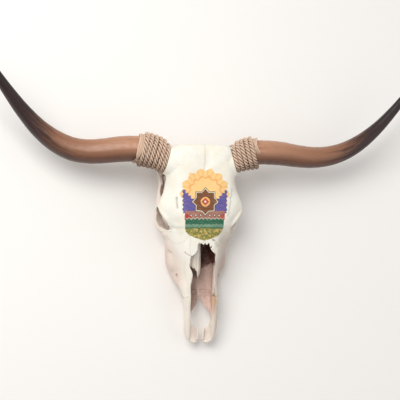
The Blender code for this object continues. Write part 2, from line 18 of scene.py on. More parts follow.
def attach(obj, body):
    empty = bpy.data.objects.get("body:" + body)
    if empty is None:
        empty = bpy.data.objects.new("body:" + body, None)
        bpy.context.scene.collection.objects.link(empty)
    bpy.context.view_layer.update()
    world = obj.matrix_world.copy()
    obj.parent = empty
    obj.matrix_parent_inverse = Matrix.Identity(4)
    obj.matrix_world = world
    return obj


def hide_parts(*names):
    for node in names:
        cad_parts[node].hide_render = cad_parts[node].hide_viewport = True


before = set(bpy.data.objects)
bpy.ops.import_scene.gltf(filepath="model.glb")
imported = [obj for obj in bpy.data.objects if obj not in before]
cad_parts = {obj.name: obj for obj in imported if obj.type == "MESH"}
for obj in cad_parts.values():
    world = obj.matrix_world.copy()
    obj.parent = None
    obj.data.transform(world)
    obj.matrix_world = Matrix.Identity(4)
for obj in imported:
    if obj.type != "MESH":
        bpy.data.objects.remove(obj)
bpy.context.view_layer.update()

bl_info = {
    "name": "Painted Steer Skull",
    "version": (1, 0, 0),
    "blender": (4, 5, 0),
    "location": "View3D > Sidebar > Skull",
    "description": "Bone, horn, rope and painted panel for a life-size steer skull",
    "category": "Add Mesh",
}

MM = 0.001
TILT = math.radians(10.1)            # nose down, as the skull rests
FOREHEAD_HEIGHT = 0.189
SHIFT_X, SHIFT_Y = -0.0198, 0.1172
SEAM = 0.3

FACE = (
    Matrix.Translation((SHIFT_X, SHIFT_Y, FOREHEAD_HEIGHT))
    @ Matrix.Rotation(TILT, 4, "X")
    @ Matrix.Diagonal((MM, -MM, -MM, 1.0))
)

FACE_PART = 238.0                    # u of the suture between cranium and face
NOSE_PART = 412.0                    # u of the joint between face and premaxillae

# The photo's aim on the forehead, the film's width, and the soft room.
AIM = (-11.9, 148.5, 0.0)
SENSOR = 36.0
ROOM_COLOR, ROOM_STRENGTH = (1.0, 0.985, 0.97, 1.0), 0.45
LAMPS = (
    ("Key", "key", 2.2, (-1.6, 1.0, 2.9), (1.0, 0.985, 0.95)),
    ("Fill", "fill", 2.6, (2.2, -0.4, 2.0), (1.0, 0.95, 0.92)),
)
FLOOR_HALF = 6.0

WRAP_LEAN = math.radians(15)         # the wraps and the horn seats lean, their nose side outward
WRAP_DIP = {-1: 0.05, 1: -0.30}      # and tip a little differently towards the viewer
SEAT = {-1: (-96, 44, 45), 1: (95, 39, 45)}      # where each horn meets its pedicle
SEAT_RADIUS, SEAT_REACH = 66.0, 120.0

# Turns at the two ends of each rope, counted from the viewer's side, where it lies flat, and how
# much its loose start points back along the horn.
ROPE_SPAN = {-1: (0.75, 7.15), 1: (0.75, 5.95)}
ROPE_FLAT = {-1: (6.25, 6.55), 1: (5.45, 5.70)}
ROPE_LOOSE = {-1: 0.0, 1: 1.6}
CROSSING = 0.22                      # share of a turn where it starts to cross to the next
TURN_STEPS = 170
SETTLING = 12                        # passes in which a turn settles on the horn

# A strand's offset, radius and flat spacing, as shares of the rope's radius.
STRAND_OFFSET, STRAND_RADIUS, STRAND_STEP = 0.55, 0.48, 0.86

FIBRE_LENGTH, FIBRE_RADIUS, FIBRE_SIDES = (8, 19), 0.75, 5
END_FIBRES, START_FIBRES = 40, 24    # how many each end of a rope frays into
ROPE_TAPER = 26                      # points over which an end rounds down

HORN_STEPS, HORN_SIDES = 420, 96
HORN_FINE = 600                      # points of a horn's line that its rope is laid against

# Where the stain and painted shade of a hollow fade out, as shares of the way from its middle to its wall.
NOSE_FADE, PIT_FADE = (1.03, 1.09), (1.02, 1.10)

# The panel's own places: its middle line, the sun's centre and the star's.
PANEL_X, SUN_U, STAR_U = 3.0, 132.0, 153.0

# The nose tip leans towards +x, from nothing at the first u to the whole at the second.
NOSE_LEAN = 4.5
LEAN_STARTS, LEAN_ENDS = 378.0, 426.0

# Half sections of the frontal roof at u: (half width, depth) from crown to edge to underside.
ROOF = (
    (-3, ((0, 14), (34, 13), (58, 18), (64, 27), (54, 38), (0, 42))),
    (3, ((0, 6), (38, 5), (66, 10), (76, 24), (64, 44), (0, 58))),
    (16, ((0, 2), (42, 0), (72, 6), (85, 24), (70, 52), (0, 70))),
    (42, ((0, 1), (46, -1), (77, 7), (94, 32), (80, 62), (0, 74))),
    (70, ((0, 1), (50, 0), (80, 10), (96, 42), (78, 66), (0, 76))),
    (100, ((0, 1), (52, 1), (82, 13), (98, 48), (76, 64), (0, 76))),
    (130, ((0, 0), (54, 2), (88, 17), (105, 46), (78, 62), (0, 78))),
    (155, ((0, 0), (56, 3), (96, 18), (115, 45), (80, 66), (0, 80))),
    (172, ((0, 0), (56, 3), (94, 17), (115, 42), (78, 68), (0, 85))),
    (190, ((0, 0), (52, 3), (84, 15), (101, 37), (74, 68), (0, 88))),
    (208, ((0, 1), (46, 5), (72, 16), (88, 36), (66, 70), (0, 90))),
    (224, ((0, 3), (40, 7), (62, 18), (76, 38), (60, 70), (0, 95))),
    (235, ((0, 12), (32, 16), (50, 30), (60, 48), (52, 70), (0, 95))),
    (248, ((0, 30), (18, 32), (28, 42), (34, 56), (30, 66), (0, 80))),
)

# Half sections of the braincase and the root of the palate, same order.
BRAINCASE = (
    (-3, ((0, 34), (36, 36), (58, 52), (60, 84), (40, 106), (0, 112))),
    (5, ((0, 24), (56, 26), (76, 50), (84, 88), (58, 120), (0, 126))),
    (20, ((0, 12), (60, 16), (84, 54), (106, 104), (74, 134), (0, 138))),
    (42, ((0, 10), (62, 18), (86, 58), (113, 112), (76, 140), (0, 156))),
    (62, ((0, 10), (60, 22), (76, 62), (106, 114), (60, 140), (0, 162))),
    (84, ((0, 10), (60, 26), (68, 64), (78, 108), (46, 142), (0, 160))),
    (110, ((0, 10), (58, 28), (66, 66), (64, 104), (36, 136), (0, 155))),
    (140, ((0, 10), (58, 30), (64, 66), (54, 104), (28, 132), (0, 148))),
    (170, ((0, 12), (58, 34), (58, 66), (44, 104), (24, 130), (0, 142))),
    (200, ((0, 12), (56, 36), (52, 68), (42, 104), (26, 126), (0, 134))),
    (236, ((0, 14), (50, 36), (50, 70), (46, 100), (30, 118), (0, 124))),
)

# Half sections of the face: crown, nasal edge, flank, cheek, jaw edge, palate.
MUZZLE = (
    (204, ((0, 14), (30, 18), (46, 32), (50, 62), (42, 100), (0, 108))),
    (214, ((0, 3), (38, 8), (62, 24), (72, 60), (58, 112), (0, 122))),
    (228, ((0, 3), (38, 7), (62, 22), (88, 64), (64, 124), (0, 121))),
    (238, ((0, 4), (36, 8), (60, 24), (94, 74), (68, 127), (0, 119))),
    (256, ((0, 6), (35, 10), (58, 27), (88, 74), (72, 126), (0, 115))),
    (280, ((0, 8), (35, 13), (54, 29), (84, 80), (74, 126), (0, 109))),
    (305, ((0, 10), (34, 15), (50, 31), (82, 97), (73, 124), (0, 104))),
    (330, ((0, 13), (31, 18), (45, 38), (80, 104), (68, 122), (0, 99))),
    (352, ((0, 16), (30, 20), (42, 42), (72, 99), (63, 117), (0, 95))),
    (370, ((0, 20), (29, 23), (42, 42), (63, 86), (57, 111), (0, 91))),
    (386, ((0, 24), (29, 27), (44, 40), (55, 68), (48, 93), (0, 87))),
    (404, ((0, 29), (30, 31), (46, 40), (51, 60), (44, 80), (0, 82))),
    (424, ((0, 33), (30, 35), (47, 42), (50, 58), (44, 74), (0, 77))),
)

# Half sections of the nasal passage, cut out of the face.
PASSAGE = (
    (248, ((0, 30), (14, 33), (22, 52), (22, 84), (12, 98), (0, 99))),
    (262, ((0, 15), (22, 19), (30, 46), (34, 80), (22, 98), (0, 100))),
    (300, ((0, 15), (27, 19), (32, 44), (36, 76), (24, 92), (0, 93))),
    (335, ((0, 17), (27, 21), (31, 44), (35, 72), (24, 86), (0, 87))),
    (375, ((0, 18), (27, 24), (28, 46), (31, 66), (22, 78), (0, 80))),
    (440, ((0, 18), (28, 26), (29, 44), (30, 58), (22, 68), (0, 70))),
)

PASSAGE_WIDER = (6.5, 0.0, 0.0)      # its wall on the +x side stands this much further out

# Plan of the opening over the nasal passage, (x, u), with the broken ends of the nasal bones.
NOSE_OPENING = (
    (-32, 440), (-32, 426), (-31, 399), (-28, 380), (-27, 365), (-27, 350), (-30, 341), (-34.5, 332),
    (-36, 325), (-34, 318), (-35, 311), (-32.5, 305), (-33, 299.5), (-29, 300.5), (-26, 297.5),
    (-22.5, 295), (-19.5, 291), (-17, 286), (-15.6, 281), (-16, 274), (-14, 267), (-10.7, 263),
    (-8.5, 267), (-6, 265), (-3, 266.5), (0.6, 270), (3.5, 265.5), (5.7, 264), (8, 268.5), (10, 270),
    (13, 266), (17, 265), (18.5, 272), (21, 280), (26, 287), (31, 292), (38, 296.5), (37, 303),
    (36, 310), (38.5, 322), (39.5, 331), (40.5, 352), (40, 375), (37.5, 398), (35.5, 424), (33.5, 440),
    (30.5, 462),
)

# Half sections of the gap between the rear of the palate and the pterygoid plates.
CHOANAE = (
    (146, ((0, 150), (10, 152), (17, 160), (19, 175), (19, 190), (0, 190))),
    (170, ((0, 128), (10, 130), (17, 140), (18, 160), (18, 190), (0, 190))),
    (200, ((0, 104), (10, 106), (17, 116), (18, 135), (18, 190), (0, 190))),
    (222, ((0, 98), (10, 100), (16, 108), (17, 118), (17, 160), (0, 160))),
)

# One premaxilla by its outline from above, (inner x, outer x) at u, and its (top, under) depth.
PREMAXILLA = (
    (396, 6, 44, 36, 75),
    (412, 3.5, 49.5, 34, 79),
    (430, 7.5, 48.5, 37, 74),
    (442, 14, 48, 40, 69),
    (452, 21, 47.8, 42, 67),
    (466, 27, 47.8, 43, 65),
    (482, 27, 47.5, 45, 65),
    (496, 20.5, 47, 47, 67),
    (508, 6.5, 46, 49, 69),
    (519, 4.5, 43.5, 51, 70),
    (529, 5, 40, 53, 69),
    (537, 7, 32, 56, 67),
    (541, 10, 22, 59, 65),
)

RIM_INNER = 30.0
NUB = ((8, 532, 62), (7.5, 516, 57), (9, 499, 55))
NUB_ROOT, NUB_TIP = 4.0, 2.6

# Orbit rim, right side, (x, u, depth) round the opening from its rear corner.
ORBIT_RIM = (
    (112, 166, 48), (108, 182, 36), (95, 201, 32), (83, 218, 40), (80, 227, 58),
    (86, 227, 76), (96, 216, 87), (106, 198, 91), (111, 180, 88), (111, 167, 72),
)
RIM_RADIUS, MALAR_RADIUS, ARCH_RADIUS, PEDICLE_RADIUS = 7.0, 11.5, 8.5, 39.0
MALAR = ((82, 246, 80), (94, 233, 86), (104, 218, 91), (108, 200, 94), (108, 184, 94), (106, 170, 94))
ARCH = ((106, 176, 93), (104, 150, 97), (100, 125, 100), (98, 100, 104), (100, 80, 109), (96, 60, 113))
PEDICLE = ((30, 46, 42), (62, 50, 42), (92, 42, 45), (112, 29, 48), (124, 22, 50))
PTERYGOID = ((24, 214, 112), (25, 198, 134), (25, 180, 158))
PTERYGOID_RADII = (9, 5)

# Ellipsoids fused into each side of the bone: centre, radii, turn in plan.
SWELLINGS = (
    ((64, 50, 148), (9, 17, 41), math.radians(12)),
    ((27, 24, 146), (20, 17, 24), math.radians(-25)),
    ((94, 56, 112), (20, 28, 20), 0.0),
    ((43, 92, 150), (13, 20, 20), 0.0),
    ((14, 76, 160), (11, 12, 10), 0.0),
    ((67, 316, 92), (16, 36, 22), math.radians(8)),
    ((58, 226, 116), (13, 16, 14), 0.0),
)
PROTUBERANCE = ((0, 6, 62), (26, 13, 30), 0.0)

# Ellipsoids cut out of each side: two for the orbit, then temple, the gap inside the arch and the
# infraorbital hole.
HOLLOWS = (
    ((92, 192, 62), (44, 33, 27), math.radians(35)),
    ((87, 211, 62), (22, 19, 25), math.radians(20)),
    ((96, 112, 78), (17, 40, 16), 0.0),
    ((78, 150, 104), (20, 50, 24), 0.0),
    ((54, 356, 76), (7, 10, 5), math.radians(-60)),
)
MAGNUM = ((0, -10, 132), (0, 20, 132), (0, 58, 122))
MAGNUM_RADIUS = 18.0

# Blade of the vomer along the passage floor: (u, depth) down its edge and back along its foot.
VOMER = ((256, 40), (300, 41), (335, 44), (352, 52), (363, 68), (366, 96), (256, 112))
VOMER_SIDES = (-3.0, 1.0)

# Conchae: name, side, reach of the sheet along u, drop, and how much of the nose's stain and painted shade
# they take.
CONCHAE = (("concha_left", -1, 330, 0, 0.12), ("concha_right", 1, 268, 14, 1.0))
CONCHA_THICK = 1.3

# Cheek teeth: length along the row, width and height of the crown, front premolar first.
CHEEK_TEETH = ((17, 13, 17), (20, 17, 18), (20, 20, 19), (24, 23, 21), (27, 25, 23), (30, 24, 29))
TOOTH_ROW_FRONT, TOOTH_OVERLAP = 376.0, 0.6
TOOTH_ROW_X = ((376, 47), (340, 55), (300, 60), (262, 61), (234, 57))
GUM_DEPTH = ((376, 101), (340, 109), (300, 115), (262, 119), (234, 121))

# Horn centre lines, (x, u, depth, radius), from the base to the tip.
HORN_LEFT = (
    (-72, 54, 43, 24), (-92, 42, 45, 25), (-112, 27, 48, 30), (-133, 17, 52, 34), (-152, 12, 56, 34.6),
    (-172, 10, 60, 35), (-218, 11, 68, 35), (-261, 16, 76, 34), (-304, 18, 84, 33), (-346, 12, 89, 32),
    (-389, -7, 91, 29.5), (-432, -38, 88, 25.5), (-475, -82, 80, 20.7), (-518, -135, 67, 16.2),
    (-560, -192, 51, 12), (-596, -242, 37, 8.2), (-626, -285, 24, 4),
)
HORN_RIGHT = (
    (72, 49, 43, 24), (92, 38, 45, 25), (112, 27, 48, 29.5), (135, 20, 51, 32.5), (154, 16, 54, 33.4),
    (174, 15, 57, 33.6), (236, 17, 66, 33.2), (286, 23, 74, 31.5), (336, 26, 82, 30), (387, 21, 88, 28),
    (436, 6, 90, 25.5), (484, -21, 88, 22), (531, -60, 82, 17.5), (575, -108, 73, 13.5),
    (612, -156, 62, 10.5), (642, -200, 51, 7.5), (666, -240, 41, 3.5),
)

# Sutures, scratches and vessels as (line of (x, u), half width, depth, wander). SIDE_SUTURES are on
# both sides.
MIDDLE_SUTURES = (
    (((2, -6), (2, 26)), 2.2, 0.25, 1.3),
    (((2, 26), (2, 40), (-1, 70), (-2, 110), (0, 160), (1, 200), (0, 262)), 1.2, 0.55, 1.3),
)
SIDE_SUTURES = (
    (((36, 242), (35, 280), (33, 310), (30, 326)), 1.1, 0.22, 0.8),
    (((38, 244), (52, 262), (66, 268), (80, 262), (90, 248)), 1.1, 0.20, 1.2),
    (((47, 318), (43, 350), (37, 380), (36, 412)), 1.0, 0.14, 0.6),
)
SCRATCHES = (
    (((34.5, 267.5), (39.5, 263)), 0.8, 1.0, 0.0),
    (((37.5, 272), (43, 267.5)), 0.8, 1.0, 0.0),
    (((41, 276.5), (46, 272.5)), 0.8, 1.0, 0.0),
    (((26.4, 256.5), (30, 257.5), (33, 260.5)), 1.7, 4.0, 0.0),
    (((-48, 290), (-43, 296), (-36, 299)), 1.0, 0.9, 0.3),
    (((-82, 286), (-79, 291), (-74, 294)), 0.9, 0.6, 0.4),
)
VESSELS = (
    (((-74.6, 143), (-74, 156), (-72.5, 170)), 2.4, 0.6, 0.5),
    (((81, 118), (78, 140), (74, 165), (69, 190)), 2.6, 0.4, 0.5),
)

# Dents as (place, spread, sink): the hollow beside the poll, and the two holes above the orbits.
POLL_DENT = ((13, 26), (9, 30), 1.5)
FORAMINA = (((-74.6, 145), (2.3, 3.0), 4.0), ((76.7, 144), (2.3, 3.0), 4.0))


def srgb(red, green, blue):
    """Linear colour from 0-255 display values."""
    shares = (c / 255 for c in (red, green, blue))
    return tuple(((c + 0.055) / 1.055) ** 2.4 if c > 0.04045 else c / 12.92 for c in shares)


def tint(name, text, *display):
    """A colour that a user may change, given by its display values."""
    return FloatVectorProperty(name=name, description=text, subtype="COLOR", size=3, min=0, max=1,
                               default=srgb(*display))


class SkullBone(bpy.types.PropertyGroup):
    grain: FloatProperty(name="Grain", description="Edge of the cells that the bone is fused in, mm",
                         default=1.85, min=1.2, max=4.0)
    rounding: IntProperty(name="Rounding", description="How far creases between fused forms are eased",
                          default=8, min=0, max=20)
    ivory: tint("Ivory", "Sound bleached bone", 244, 239, 224)
    chalk: tint("Chalk", "The palest, weathered bone", 248, 247, 238)
    shade: tint("Shade", "Bone low on the skull", 226, 206, 196)
    # Marrow: real stain in pores, seams and at the gums, and painted shade in the nose, orbits, temples, on
    # the right flank and under the nose tip.
    marrow_stain_and_shade: tint("Marrow", "Stain inside the nose and behind the orbits", 128, 90, 72)
    # Deep: painted shadow under the nasal roof, at the back of the passage.
    deep_shade: tint("Deep stain", "The dark back of the nasal passage", 86, 42, 30)
    blush: tint("Blush", "Pale floor of the nose, right of the vomer", 222, 192, 180)
    ochre: tint("Ochre", "Rough stain on the right premaxilla", 206, 166, 106)
    tooth: tint("Tooth", "Stained enamel", 222, 204, 164)


class SkullHorn(bpy.types.PropertyGroup):
    ripple: FloatProperty(name="Ripple", description="Height of the growth rings, mm",
                          default=0.35, min=0, max=2)
    base: tint("Base", "Horn next to the wraps", 204, 152, 120)
    middle: tint("Middle", "Horn at the first bend", 162, 114, 86)
    # Under: painted shade on the side of the horn that faces the nose; it also darkens the streaks.
    under: tint("Under", "The side that faces the nose", 76, 38, 24)
    dark: tint("Dark", "Outer third of the horn", 46, 26, 26)
    tip: tint("Tip", "The very tip", 21, 13, 15)


class SkullRope(bpy.types.PropertyGroup):
    radius: FloatProperty(name="Radius", description="Radius of the rope, mm", default=6.1, min=2, max=8)
    pitch: FloatProperty(name="Pitch", description="Step from turn to turn, mm", default=12.4, min=4, max=16)
    lay: FloatProperty(name="Lay", description="Length of one twist of the strands, mm",
                       default=31, min=10, max=80)
    clear: FloatProperty(name="Clearance", description="Gap between rope and horn, mm",
                         default=1.5, min=0, max=4)
    slack: FloatProperty(name="Slack", description="How far the turns stray from even, mm",
                         default=0.6, min=0, max=2)
    light: tint("Light", "Crown of a strand", 240, 210, 186)
    # Dark: painted shade in the grooves between the strands.
    dark: tint("Dark", "Between the strands", 94, 58, 42)
    # Painted shade on the side of the rope that faces the nose.
    nose_side_shade: tint("Soiled", "The side that faces the nose", 84, 50, 36)


class SkullPaint(bpy.types.PropertyGroup):
    sun: tint("Sun", "Rays and disc", 252, 208, 138)
    glow: tint("Glow", "Warm middle of the rays", 244, 178, 104)
    violet: tint("Violet", "Stepped bands at the sides", 104, 92, 168)
    night: tint("Night", "Lines in the violet", 70, 58, 128)
    rust: tint("Rust", "Band under the star", 168, 112, 98)
    brown: tint("Brown", "The star", 120, 68, 30)
    umber: tint("Umber", "Dark outlines", 52, 20, 18)
    red: tint("Red", "Heart of the star and corner wedges", 188, 62, 54)
    green: tint("Green", "Toothed band", 22, 98, 70)
    sage: tint("Sage", "Pale stripe in the green", 112, 152, 126)
    olive: tint("Olive", "Mottled foot", 140, 136, 52)
    cream: tint("Cream", "Fine lines", 238, 230, 206)


class SkullStage(bpy.types.PropertyGroup):
    distance: FloatProperty(name="Distance", description="Camera to forehead", default=3.0, unit="LENGTH")
    width: FloatProperty(name="Width", description="Width of the view at the forehead", default=1.08,
                         unit="LENGTH")
    yaw: FloatProperty(name="Yaw", description="Turn of the view to the side", default=math.radians(13.5),
                       subtype="ANGLE")
    roll: FloatProperty(name="Roll", description="Roll of the camera", default=math.radians(0.3),
                        subtype="ANGLE")
    key: FloatProperty(name="Key", description="Power of the large soft light", default=84, unit="POWER")
    fill: FloatProperty(name="Fill", description="Power of the light from the side", default=14,
                        unit="POWER")
    floor: tint("Floor", "Plain pale floor", 246, 245, 243)


# Surfaces


def hermite(knots, values, at):
    """Smooth curve through values at knots: cubic Hermite with centred slopes."""
    knots, values, at = (np.asarray(a, float) for a in (knots, values, at))
    slopes = np.gradient(values, knots, axis=0)
    i = np.clip(np.searchsorted(knots, at, side="right") - 1, 0, len(knots) - 2)
    step = knots[i + 1] - knots[i]
    t = (at - knots[i]) / step
    lift = (slice(None),) + (None,) * (values.ndim - 1)
    t, step = t[lift], step[lift]
    return (
        (2 * t**3 - 3 * t**2 + 1) * values[i]
        + (t**3 - 2 * t**2 + t) * step * slopes[i]
        + (3 * t**2 - 2 * t**3) * values[i + 1]
        + (t**3 - t**2) * step * slopes[i + 1]
    )


def closed_curve(corners, count):
    """Closed Catmull-Rom curve through corners (..., K, D), as count points."""
    total = corners.shape[-2]
    at = np.arange(count) * total / count
    i = at.astype(int)
    t = (at - i)[:, None]
    before, start, end, after = (corners[..., (i + k) % total, :] for k in (-1, 0, 1, 2))
    return 0.5 * (
        2 * start
        + (end - before) * t
        + (2 * before - 5 * start + 4 * end - after) * t**2
        + (3 * start - before - 3 * end + after) * t**3
    )


def lengths(path):
    """Length of a path up to each of its points."""
    return np.concatenate([[0], np.cumsum(np.linalg.norm(np.diff(path[:, :3], axis=0), axis=1))])


def smooth_path(points, steps):
    """Smooth run through points (K, D), by length, as steps rows."""
    points = np.asarray(points, float)
    reach = lengths(points)
    return hermite(reach, points, np.linspace(0, reach[-1], steps))


def unit(vectors):
    return vectors / np.linalg.norm(vectors, axis=-1, keepdims=True)


def skin(grid, cyclic=False):
    """Points and faces of a grid of rings: quads between rings, and end caps unless it closes."""
    rows, columns = grid.shape[:2]
    index = np.arange(rows * columns).reshape(rows, columns)
    below = np.roll(index, -1, axis=0) if cyclic else index[1:]
    above = index if cyclic else index[:-1]
    quads = np.stack([above, np.roll(above, -1, 1), np.roll(below, -1, 1), below], -1).reshape(-1, 4)
    caps = [] if cyclic else [index[0, ::-1].tolist(), index[-1].tolist()]
    return grid.reshape(-1, 3), quads.tolist() + caps


def sheet(grid):
    """Points and quads of an open grid."""
    index = np.arange(grid.shape[0] * grid.shape[1]).reshape(grid.shape[:2])
    quads = np.stack([index[:-1, :-1], index[:-1, 1:], index[1:, 1:], index[1:, :-1]], -1)
    return grid.reshape(-1, 3), quads.reshape(-1, 4).tolist()


def border(grid):
    """The points round an open grid, in order."""
    return np.concatenate([grid[0, :-1], grid[:-1, -1], grid[-1, :0:-1], grid[:0:-1, 0]])


def sections(stations, at, columns):
    """Closed sections (x, depth) at each u of at, through mirrored half sections."""
    half = np.array([corners for _, corners in stations], float)
    whole = np.concatenate([half, half[:, -2:0:-1] * (-1.0, 1.0)], axis=1)
    return closed_curve(hermite([u for u, _ in stations], whole, at), columns)


def carried(ring, at):
    """Body of closed sections (x, depth), each at its own u."""
    along = np.broadcast_to(at[:, None, None], ring.shape[:2] + (1,))
    return skin(np.concatenate([ring[..., :1], along, ring[..., 1:]], axis=-1))


def loft(stations, rows=120, columns=120):
    """Body through mirrored half sections: a closed curve through the corners, carried along u."""
    at = np.linspace(stations[0][0], stations[-1][0], rows)
    return carried(sections(stations, at, columns), at)


def square_axes(path, across, cyclic=False):
    """Unit vectors side and up at each point of a path, square to its run."""
    run = unit(np.roll(path, -1, 0) - np.roll(path, 1, 0) if cyclic else np.gradient(path, axis=0))
    side = unit(np.cross(run, across))
    return side, np.cross(side, run)


def tube(path, radii, across, sides=24, cyclic=False):
    """Bar along a path: centre + r (cos a side + sin a up). The radius may change along the path
    (one a point) or also round it (sides at each point)."""
    side, up = square_axes(path, across, cyclic)
    angle = np.linspace(0, 2 * np.pi, sides, endpoint=False)[None, :, None]
    if np.ndim(radii) < 2:
        radii = np.broadcast_to(radii, len(path))[:, None]
    spoke = np.cos(angle) * side[:, None] + np.sin(angle) * up[:, None]
    return skin(path[:, None] + radii[..., None] * spoke, cyclic)


def ellipsoid(centre, radii, turn=0.0, rows=40, columns=56):
    """Ellipsoid by latitude and longitude, its first axis turned from x towards u."""
    rise = np.linspace(-np.pi / 2 + 0.02, np.pi / 2 - 0.02, rows)[:, None]
    round_ = np.linspace(0, 2 * np.pi, columns, endpoint=False)[None]
    x, u = radii[0] * np.cos(rise) * np.cos(round_), radii[1] * np.cos(rise) * np.sin(round_)
    depth = np.broadcast_to(radii[2] * np.sin(rise), x.shape)
    cos, sin = math.cos(turn), math.sin(turn)
    return skin(np.stack((x * cos - u * sin, x * sin + u * cos, depth), -1) + centre)


def prism(outline, top, bottom):
    """Upright prism over a plan outline of (x, u)."""
    plan = np.asarray(outline, float)
    return skin(np.array([np.column_stack([plan, np.full(len(plan), depth)]) for depth in (top, bottom)]))


def block(low, high):
    """Box from its low to its high corner."""
    (x0, u0, d0), (x1, u1, d1) = low, high
    return prism(((x0, u0), (x1, u0), (x1, u1), (x0, u1)), d0, d1)


def mirror(shell):
    """The same shell on the skull's other side, its faces turned to point outwards again."""
    points, faces = shell
    return points * (-1.0, 1.0, 1.0), [face[::-1] for face in faces]


def both(shells):
    return [twin for shell in shells for twin in (shell, mirror(shell))]


def merge(shells):
    """Several shells of (points, faces) as one."""
    counts = np.cumsum([0] + [len(points) for points, _ in shells])
    faces = [[int(start) + i for i in face] for start, (_, own) in zip(counts, shells) for face in own]
    return np.concatenate([points for points, _ in shells]), faces


def mesh_of(name, shells):
    """One mesh from shells, with doubles merged and normals outwards."""
    points, faces = merge(shells)
    mesh = bpy.data.meshes.new(name)
    mesh.from_pydata(points.tolist(), [], faces)
    bm = bmesh.new()
    bm.from_mesh(mesh)
    bmesh.ops.remove_doubles(bm, verts=bm.verts, dist=1e-3)
    bmesh.ops.recalc_face_normals(bm, faces=bm.faces)
    bm.to_mesh(mesh)
    bm.free()
    return mesh


def shown(name, mesh):
    obj = bpy.data.objects.new(name, mesh)
    bpy.context.scene.collection.objects.link(obj)
    return obj


def settled(obj):
    """Put the result of the object's modifiers in its mesh."""
    bpy.context.view_layer.update()
    mesh = bpy.data.meshes.new_from_object(obj.evaluated_get(bpy.context.evaluated_depsgraph_get()))
    obj.modifiers.clear()
    obj.data = mesh
    return obj


def fused(obj, cell, rounds):
    """Shells that cross become one rounded skin."""
    remesh = obj.modifiers.new("Fuse", "REMESH")
    remesh.mode, remesh.voxel_size = "VOXEL", cell
    smooth = obj.modifiers.new("Round", "SMOOTH")
    smooth.factor, smooth.iterations = 0.5, rounds
    return settled(obj)


def carved(obj, shells, operation="DIFFERENCE"):
    """Cut closed shells out of an object, or add them. EXACT is slow on skins this dense, so MANIFOLD
    does it."""
    for shell in shells:
        cutter = shown("Cutter", mesh_of("Cutter", [shell]))
        boolean = obj.modifiers.new("Cut", "BOOLEAN")
        boolean.operation, boolean.object, boolean.solver = operation, cutter, "MANIFOLD"
        settled(obj)
        bpy.data.objects.remove(cutter)
    return obj


def largest(obj):
    """Keep the largest connected part of the mesh."""
    count = len(obj.data.vertices)
    pairs = np.empty(len(obj.data.edges) * 2, int)
    obj.data.edges.foreach_get("vertices", pairs)
    start, end = pairs.reshape(-1, 2).T
    label = np.arange(count)
    while True:
        low = np.minimum(label[start], label[end])
        new = label.copy()
        np.minimum.at(new, start, low)
        np.minimum.at(new, end, low)
        new = new[new]
        if np.array_equal(new, label):
            break
        label = new
    keep = label == np.bincount(label).argmax()
    if keep.all():
        return obj
    bm = bmesh.new()
    bm.from_mesh(obj.data)
    bm.verts.ensure_lookup_table()
    bmesh.ops.delete(bm, geom=[bm.verts[int(i)] for i in np.flatnonzero(~keep)], context="VERTS")
    bm.to_mesh(obj.data)
    bm.free()
    return obj


def triples(rows, key):
    """One vector of each row of a mesh's data."""
    out = np.empty(len(rows) * 3)
    rows.foreach_get(key, out)
    return out.reshape(-1, 3)


def points_of(mesh):
    return triples(mesh.vertices, "co")


def set_points(mesh, points):
    mesh.vertices.foreach_set("co", points.ravel())


def push(mesh, amount):
    """Move each vertex along its own normal."""
    set_points(mesh, points_of(mesh) + triples(mesh.vertex_normals, "vector") * amount[:, None])
    mesh.update()


def note(mesh, name, values):
    """Store a number, or a triple, at each vertex."""
    values = np.asarray(values, float)
    kind, key = ("FLOAT", "value") if values.ndim == 1 else ("FLOAT_VECTOR", "vector")
    mesh.attributes.new(name, kind, "POINT").data.foreach_set(key, values.ravel())


def placed(obj, material):
    """Lean a piece's nose tip over, turn it from the skull's frame into world space, all in its mesh
    and none of it under the floor, and give it its material."""
    mesh = obj.data
    points = points_of(mesh)
    points[:, 0] += NOSE_LEAN * ramp(points[:, 1], LEAN_STARTS, LEAN_ENDS)
    set_points(mesh, points)
    mesh.transform(FACE)
    points = points_of(mesh)
    points[:, 2] = np.maximum(points[:, 2], 0.0)
    set_points(mesh, points)
    if FACE.determinant() < 0:
        mesh.flip_normals()
    mesh.materials.clear()
    mesh.materials.append(material)
    mesh.shade_smooth()
    mesh.update()
    return obj


def hand_over(obj, slot, *nodes):
    """Let the piece ride on the skull and stand for its CAD nodes."""
    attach(obj, "root")
    if nodes:
        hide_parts(*nodes)


def ramp(values, low, high):
    """Smooth step from 0 at low to 1 at high."""
    t = np.clip((values - low) / (high - low), 0, 1)
    return t * t * (3 - 2 * t)


def line_distance(points, line):
    """Least distance in plan from each point to a line of straight runs."""
    line = np.asarray(line, float)
    start, run = line[:-1], np.diff(line, axis=0)
    away = points[:, None, :2] - start[None]
    share = np.clip((away * run).sum(-1) / (run**2).sum(-1), 0, 1)
    return np.linalg.norm(away - share[..., None] * run, axis=-1).min(axis=1)


def grooves(points, lines):
    """Depth of the sutures and scratches at each point, and how much of a seam it is."""
    depth, mark = np.zeros(len(points)), np.zeros(len(points))
    for line, width, sink, wander in lines:
        moved = points[:, :2] + wander * np.column_stack([
            np.sin(points[:, 1] * 1.1) + 0.6 * np.sin(points[:, 1] * 2.7 + 1.0),
            np.sin(points[:, 0] * 1.2 + 0.5) + 0.6 * np.sin(points[:, 0] * 2.9),
        ])
        near = np.exp(-(line_distance(moved, line) / width) ** 2)
        depth = np.maximum(depth, sink * near)
        mark = np.maximum(mark, near * min(1.0, sink))
    return depth, mark


def dent(points, place, spread, sink):
    """Round dent in plan: sink exp(-(x / a)^2 - (u / b)^2) about its place."""
    return sink * np.exp(-(((points[:, :2] - place) / spread) ** 2).sum(axis=1))


def unevenness(points):
    """Low waves over the bone: sines of x, u and depth that don't repeat together."""
    x, u, depth = points.T
    return (
        0.45 * np.sin(x / 17 + 1.3) * np.sin(u / 21 + 0.7)
        + 0.30 * np.sin(x / 8.3 + u / 12.1) * np.sin(depth / 11 + 2.0)
        + 0.16 * np.sin(u / 5.2 + depth / 6.1) * np.sin(x / 6.6 + 0.4)
    )


